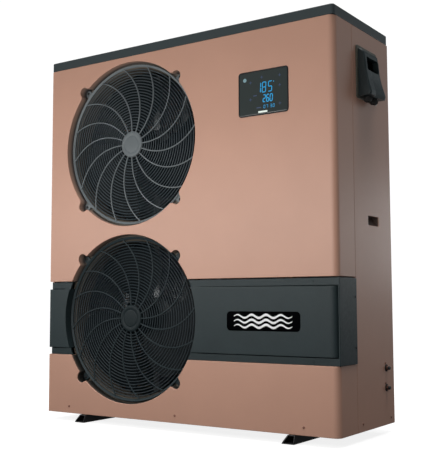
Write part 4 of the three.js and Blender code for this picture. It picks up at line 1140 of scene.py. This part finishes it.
# Figures, left edges, height over the bezel's lower edge, and width, height and bar of a figure.
READOUTS = [
    ("185", (858, 876, 897), 69, 12, 30, 2.4),
    ("260", (879, 891, 903), 39, 8, 21, 2.6),
    ("0730", (881, 890, 904, 913), 20, 5, 9, 1.2),
]
POINT_MARK = (916, 97)
POWER_MARK = (815, 113)
ICONS = [(835, 103), (875, 115), (937, 113), (937, 83), (835, 51), (937, 28)]
DASHES = [(845, 857, 60, 63), (856, 872, 22, 25)]
BAR = (862, 894, 7.5, 12.5)
# Inset, depth and corner radius of each ring of the bezel.
BEZEL_RINGS = [
    (0, 1.6, 10), (0, 0.6, 10), (0.2, 0.25, 9.8), (0.7, 0, 9.3),
    (3.0, 0, 7), (3.5, 0.3, 6.5), (3.5, 3, 6.5), (6, 3, 5),
]


def digit(symbol, x, z, width, height, bar, front):
    """Bars of a seven-segment figure, its lower left corner at (x, z)."""
    bars = []
    for name in SEGMENTS_OF[symbol]:
        start, end = (Vector((u * width, v * height / 2)) for u, v in SEGMENT_ENDS[name])
        along = (end - start).normalized()
        side = Vector((-along.y, along.x)) * bar / 2
        start, end = start + along * bar * 0.6, end - along * bar * 0.6
        tip = along * bar / 2
        loop = [start - tip, start - side, end - side, end + tip, end + side, start + side]
        lean = [(x + p.x + p.y * 0.06, z + p.y) for p in loop]
        bars.append(slab(lean, front - 0.12, front + 0.1, 0.03))
    return bars


def make_display():
    (x0, front, z0), (x1, _, z1) = extent("display_bezel")
    rings = []
    for inset, y, corner in BEZEL_RINGS:
        loop = rounded_rect(x0 + inset, x1 - inset, z0 + inset, z1 - inset, corner, 8)
        rings.append(at_depth(loop, front + y))
    bm = bmesh.new()
    loft(bm, rings)
    turn_out(bm, -Y)
    open_piece("display_frame", bm, "black_plastic", "display_bezel")
    glass = extent("display_glass")[0].y
    loop = rounded_rect(x0 + 3.8, x1 - 3.8, z0 + 3.8, z1 - 3.8, 6.2, 8)
    make_piece("display_pane", [slab(loop, glass, glass + 2.4, 0.5)], "display_window", "display_glass")

    def mark(place, size, rise, segments):
        x, up = place
        return stacked("front", (x, glass, z0 + up), [(size, -0.1), (size, rise)], segments)

    def dash(box, rise, edge):
        left, right, low, high = box
        loop = rounded_rect(left, right, z0 + low, z0 + high, 1.2, 3)
        return slab(loop, glass - rise, glass + 0.1, edge)

    lights = [mark(POINT_MARK, 1.6, 0.1, 16)]
    for figures, edges, up, *sizes in READOUTS:
        for symbol, x in zip(figures, edges):
            lights += digit(symbol, x, z0 + up, *sizes, glass)
    dim = [mark(place, cross_recess(5), 0.12, 32) for place in ICONS]
    dim += [dash(box, 0.1, 0.02) for box in DASHES]
    make_piece("display_digits", lights, "display_light")
    make_piece("display_icons", dim, "display_dim")
    make_piece("display_power_mark", [mark(POWER_MARK, 6, 0.12, 24)], "display_pale")
    make_piece("display_bar", [dash(BAR, 0.12, 0.03)], "display_white")


# ---- terminal cover

# Side view of the hood as (distance off the side skin, height above the cabinet underside).
HOOD_PROFILE = [(16, 1130), (22, 1122), (26.5, 1100), (29.5, 1066), (35, 1038), (41, 1016)]
HOOD_PROFILE += [(46, 1000), (46, 994), (44, 989)]
HOOD_Y = (150, 258)
HOOD_TOP, HOOD_UNDERSIDE, HOOD_STEPS = 1131, 987, 34
HOOD_CORNER_R = 5
SCOOP_TOP, SCOOP_RUN, SCOOP_DEPTH, SCOOP_FLARE = 1060, 40, 9, 2.5
SHOULDER, RIDGE = 0.3, 0.36
POCKET_FLOOR = 8
POCKET = rounded_rect(163, 250, FLOOR + 1064, FLOOR + 1109, 7, 5)
POCKET_BOTTOM = rounded_rect(166, 247, FLOOR + 1068, FLOOR + 1107, 5, 5)
GLAND_HOLE_R, GLAND_HOLE_Z = 10, (975, 999)
PLATE_EDGE = [(0, 0), (0, 2.6), (0.5, 3.5), (1.5, 4)]
GLANDS = ("power", "control")


def hood_out(height):
    """How far the hood stands off the side at a height."""
    for (out_a, high), (out_b, low) in zip(HOOD_PROFILE, HOOD_PROFILE[1:]):
        if low <= height <= high:
            return out_a + (out_b - out_a) * (high - height) / (high - low)
    return HOOD_PROFILE[0][0] if height > HOOD_PROFILE[0][1] else HOOD_PROFILE[-1][0]


def scoop_share(t):
    """Depth of the nose's scoop across its width: a flat shoulder, a ridge, a long slope."""
    if t < SHOULDER:
        return 0
    if t < RIDGE:
        return (t - SHOULDER) / (RIDGE - SHOULDER)
    return 1 - (t - RIDGE) / (1 - RIDGE)


def hood_ring(base, share):
    """Level outline of the hood; share runs from its top to its underside."""
    y0, y1 = HOOD_Y
    height = HOOD_TOP + (HOOD_UNDERSIDE - HOOD_TOP) * share
    face = base + max(6, hood_out(height) - 5 * max(0, 1 - share * HOOD_STEPS / 2.2) ** 2)
    lower = min(1, max(0, (SCOOP_TOP - height) / SCOOP_RUN))
    scoop = 1.2 + SCOOP_DEPTH * lower
    corner = HOOD_CORNER_R
    near, far = y0 + 2 - SCOOP_FLARE * lower + corner, y1 - 2 + SCOOP_FLARE * lower - corner
    ring = [(base - 0.2, y0 + 2), (base + 4, y0 + 2)]
    ring += arc(face - corner, near, corner, -90, 0, 4)
    for step in range(1, 20):
        ring.append((face - scoop * scoop_share(step / 20), near + (far - near) * step / 20))
    ring += arc(face - corner, far, corner, 0, 90, 4)
    ring += [(base + 4, y1 - 2), (base - 0.2, y1 - 2)]
    return [(x, y, FLOOR + height) for x, y in ring]


def make_terminal_cover():
    (base, y0, z0), (_, y1, z1) = extent("terminal_cover")
    hood = [hood_ring(base, i / HOOD_STEPS) for i in range(HOOD_STEPS + 1)]
    pocket = [at_side(POCKET_BOTTOM, base + POCKET_FLOOR), at_side(POCKET, base + 60)]
    holes = []
    for gland in GLANDS:
        low, high = extent("cable_gland_" + gland)
        cx, cy = ((low + high) / 2).xy
        ends = [(GLAND_HOLE_R, FLOOR + z) for z in GLAND_HOLE_Z]
        holes.append(stacked("up", (cx, cy, 0), ends, 32))
    bm = carved([hood], [pocket], holes)
    piece = open_piece("terminal_hood", bm, "hood_plastic", "terminal_cover", sharp=CHAMFER_ANGLE)
    chamfered(piece, 1.0, 3)
    # A near-black sheet on the pocket floor paints the shade inside the pocket.
    floor = offset_loop(POCKET_BOTTOM, -0.3)
    lining = [at_side(floor, base + POCKET_FLOOR + rise) for rise in (0.2, 1.2)]
    make_piece("terminal_pocket_lining", [lining], "pocket_black")
    outline = rounded_rect(y0, y1, z0, z1, 8, 6)
    plate = [at_side(offset_loop(outline, -inset), base + out) for inset, out in PLATE_EDGE]
    # The plate's lightened black plastic is a painted reflection.
    make_piece("terminal_plate", [plate], "hood_plate")
    corners = [(base + 4, y1 - 15, z) for z in (z0 + 12, z1 - 12)]
    screws("terminal_screws", "zinc_screw", "right", corners, 3.6, 1.8)


def make_glands():
    for gland in GLANDS:
        node = "cable_gland_" + gland
        low, high = extent(node)
        outer = half_width(node)
        centre = ((low.x + high.x) / 2, (low.y + high.y) / 2, low.z)
        dome = [(6.2, 0.3), (7, 0), (9.6, 0.5), (outer - 0.6, 4), (outer - 0.4, 12)]
        dome += [(9.7, 12), (9.7, 26), (outer - 0.4, 26), (outer - 0.4, 33.7), (6.2, 33.7)]
        body = turned(dome, centre, 48, "up", lambda around: 1 + 0.025 * cos(12 * around))
        make_piece("gland_" + gland, [body], "grommet_rubber", node, sharp=40)


# ---- right side fittings


def hexagon(around):
    return 7.6 * cos(pi / 6) / cos(around % (pi / 3) - pi / 6)


def knurl(around):
    return 5.4 * (1 + 0.035 * cos(20 * around))


PORT_COLLAR = [(11, -0.5), (11, 1.2), (9.4, 2), (7, 2)]
PORT_BODY = [(hexagon, 1.5), (hexagon, 4.6), (6, 5.4), (4.6, 8)]
PORT_CAP = [(4.8, 6), (knurl, 6.4), (knurl, 11.4), (4.6, 12.8)]
# Name, profile, segments, finish, CAD node, body and sharp angle.
PORT_PARTS = [
    ("collars", PORT_COLLAR, 40, "grommet_rubber", None, "cabinet", 30),
    ("bodies", PORT_BODY, 48, "aged_brass", "service_ports", "cabinet", 30),
    ("caps", PORT_CAP, 80, "black_plastic", None, "cabinet", 40),
]


def make_service_ports():
    """Two refrigerant service valves, each with a rubber collar, a hexagon and a knurled cap."""
    low, high = extent("service_ports")
    y = (low.y + high.y) / 2
    heights = (low.z + 24, high.z - 24)
    for name, profile, segments, *looks in PORT_PARTS:
        shapes = [stacked("right", (SIDE_FACE, y, z), profile, segments) for z in heights]
        make_piece("service_port_" + name, shapes, *looks)
    places = []
    for z in heights:
        places += [(SIDE_FACE, y - 6, z + 15), (SIDE_FACE, y + 16, z - 2)]
    screws("service_port_screws", "paint_screw", "right", places, 3.6, 2)


# ---- rear

GUARD_FRAME_W = 22
GRID_INSET, GRID_ACROSS, GRID_UPWARD, GRID_WIRE_R = 12, 50, 25, 1.4
COIL_BEND_R = 70
FIN_PITCH, FIN_HALF_DEPTH, FIN_HALF_T = 2.4, 17.2, 0.18
TUBE_PITCH, TUBE_R, TUBE_DEPTHS = 25, 4.6, (9, 26)
THREADS = 4


def make_wire_grid(x0, x1, z0, z1, y):
    wires = []
    columns, rows = round((x1 - x0) / GRID_ACROSS), round((z1 - z0) / GRID_UPWARD)
    for i in range(columns + 1):
        x = x0 + (x1 - x0) * i / columns
        wires.append(sweep([(x, y, z0), (x, y, z1)], GRID_WIRE_R, 6))
    y -= GRID_WIRE_R * 1.6
    for i in range(rows + 1):
        z = z0 + (z1 - z0) * i / rows
        wires.append(sweep([(x0, y, z), (x1, y, z)], GRID_WIRE_R, 6))
    make_piece("coil_guard_wires", wires, "guard_wire")


def edge_screws(name, node, inset, radius, height):
    """Three screws down each side of a rear panel."""
    (x0, _, z0), (x1, y, z1) = extent(node)
    heights = (z0 + 40, (z0 + z1) / 2, z1 - 40)
    places = [(x, y, z) for x in (x0 + inset, x1 - inset) for z in heights]
    screws(name, "zinc_screw", "rear", places, radius, height)


def make_rear_guard():
    (x0, _, z0), (x1, y1, z1) = extent("rear_coil_guard")
    wide = GUARD_FRAME_W
    outline = rounded_rect(x0, x1, z0, z1, 3, 3)
    hole = rounded_rect(x0 + wide, x1 - wide, z0 + wide, z1 - wide, 6, 5)
    panel = Pressing([(WIDTH - x, z) for x, z in outline[::-1]], 0.8, 3)
    panel.hole([(WIDTH - x, z) for x, z in hole[::-1]], 1.0, 4)
    bm = panel.finished()
    face_rear(bm)
    turn_out(bm, Y)
    make_sheet("coil_guard_frame", bm, "copper_paint", "rear_coil_guard")
    inset = GRID_INSET
    make_wire_grid(x0 + inset, x1 - inset, z0 + inset, z1 - inset, y1 - 4.2)
    edge_screws("coil_guard_screws", "rear_coil_guard", 11, 4, 2)


def coil_path(inset):
    """Plan of the coil: along the left side, round a bend and along the rear."""
    low, high = extent("evaporator_coil")
    left, rear = low.x + inset, high.y - inset
    bend = COIL_BEND_R - inset
    points = [(left, low.y), (left, rear - bend)]
    points += arc(left + bend, rear - bend, bend, 180, 90, 14) + [(high.x, rear)]
    return [Vector(point) for point in points]


def stations(points, pitch):
    """Evenly spaced places along a run of points, each with its direction."""
    found = []
    left_over = 0.0
    for start, end in zip(points, points[1:]):
        length = (end - start).length
        if length == 0:
            continue
        along = (end - start) / length
        place = left_over
        while place < length:
            found.append((start + along * place, along))
            place += pitch
        left_over = place - length
    return found


def make_coil():
    low, high = extent("evaporator_coil")
    fins, tubes = [], []
    for place, along in stations(coil_path(17.5), FIN_PITCH):
        side = Vector((-along.y, along.x)) * FIN_HALF_DEPTH
        thick = along * FIN_HALF_T
        corners = [place + side * a + thick * b for a, b in rect(-1, 1, -1, 1)]
        fins.append([[(p.x, p.y, z) for p in corners] for z in (low.z, high.z)])
    make_piece("coil_fin_pack", fins, "coil_fins", "evaporator_coil")
    rows = int((high.z - low.z - 20) / TUBE_PITCH)
    for depth in TUBE_DEPTHS:
        shift = TUBE_PITCH / 2 if depth == TUBE_DEPTHS[1] else 0
        for row in range(rows + 1):
            z = low.z + 12 + row * TUBE_PITCH + shift
            if z < high.z - 5:
                tubes.append(sweep([(p.x, p.y, z) for p in coil_path(depth)], TUBE_R))
    make_piece("coil_tubes", tubes, "copper_tube")


def nut_grip(around):
    return 1 + 0.045 * max(0, cos(10 * around)) ** 3


def make_union(end):
    """A threaded tail, the glue socket on it and the loose nut that holds them together."""
    centre = joint_place("union_nut_" + end + "_turn")
    centre.y = 0
    skin = extent("rear_panel")[1].y
    node = "union_tail_" + end
    inside = extent(node)[0].y
    tail = [(21, inside), (25, inside), (25, skin + 0.4), (36, skin + 0.4), (36, skin + 5)]
    tail += [(31, skin + 5)]
    for thread in range(THREADS):
        y = skin + 7 + thread * 4
        tail += [(31, y), (29.6, y + 1.4), (31, y + 2.6)]
    tail += [(31, skin + 24), (21, skin + 24)]
    make_piece("tail_" + end, [turned(tail, centre)], "union_plastic", node, sharp=40)
    node = "union_socket_" + end
    seat, tip = skin + 24.3, extent(node)[1].y
    socket = [(21, seat), (31, seat), (31, seat + 5), (29, seat + 5), (29, tip - 1), (28, tip)]
    socket += [(26, tip), (25.2, tip - 0.8), (25.2, seat + 7), (21, seat + 7)]
    make_piece("socket_" + end, [turned(socket, centre)], "union_plastic", node, sharp=40)
    node = "union_nut_" + end
    (_, front, _), (_, back, _) = extent(node)
    lip = skin + 24 + 5 + 0.6
    nut = [(31.6, front + 0.5), (33, front), (39, front), (40.6, front + 2), (40.6, back - 5)]
    nut += [(38.5, back - 1.5), (36, back), (30.4, back), (29.6, back - 0.8), (29.6, lip)]
    nut += [(31.6, lip)]
    nut = turned(nut, centre, 120, scallop=nut_grip)
    make_piece("nut_" + end, [nut], "black_plastic", node, "nut_" + end, 40)


# ---- screws on the skins


def make_skin_screws():
    front = [(x, 0, FLOOR + 23) for x in (98, 548, 1003)]
    side = [(SIDE_FACE, 153, FLOOR + 23), (SIDE_FACE, DEPTH - 29, FLOOR + 20)]
    wrap = [(WRAP_X, RETURN_END - 10, z) for z in (BAND_HIGH - 57, BAND_LOW + 46)]
    rails = [(WIDTH - 80, RAIL_INSET, z) for z in (BAND_HIGH - 13, BAND_LOW + 11)]
    left = [(DIMPLE_DEPTH, y, z) for y, z in LEFT_SCREWS]
    screws("front_screws", "paint_screw", "front", front, 3.8, 1.8)
    screws("side_screws", "paint_screw", "right", side, 4, 2)
    screws("band_screws", "black_plastic", "right", wrap, 3.2, 1.6)
    screws("rail_screws", "band_plastic", "front", rails, 3.4, 1.2)
    edge_screws("rear_screws", "rear_panel", 12, 4.4, 2.2)
    screws("left_screws", "paint_screw", "left", left, 4.6, 2.2)


def finish_cad_nodes():
    """Inner pieces keep their CAD shape and take a finer finish."""
    slots = {entry["node"]: entry["material_slot"] for entry in frame["record"]["subparts"]}
    for name, node in frame["nodes"].items():
        node.data.materials.clear()
        node.data.materials.append(FINISHES[slots[name]])


make_camera()
make_world()
make_floor()
make_lights()
bpy.context.scene.view_settings.view_transform = "Standard"
finish_cad_nodes()
make_upper_skin()
make_lower_skin()
make_right_skin()
make_grip_cup()
make_left_skin()
make_rear_skin()
make_lid()
make_band_channel()
make_band_cover()
make_badge()
for fan in FANS:
    make_guard(fan)
    make_shroud(fan)
    make_rotor(fan)
make_display()
make_terminal_cover()
make_glands()
make_service_ports()
make_rear_guard()
make_coil()
for end in ("in", "out"):
    make_union(end)
for side in ("left", "right"):
    refined("foot_" + side, "black_paint", 1.2)
refined("drain_spout", "black_plastic", 0.6)
make_skin_screws()
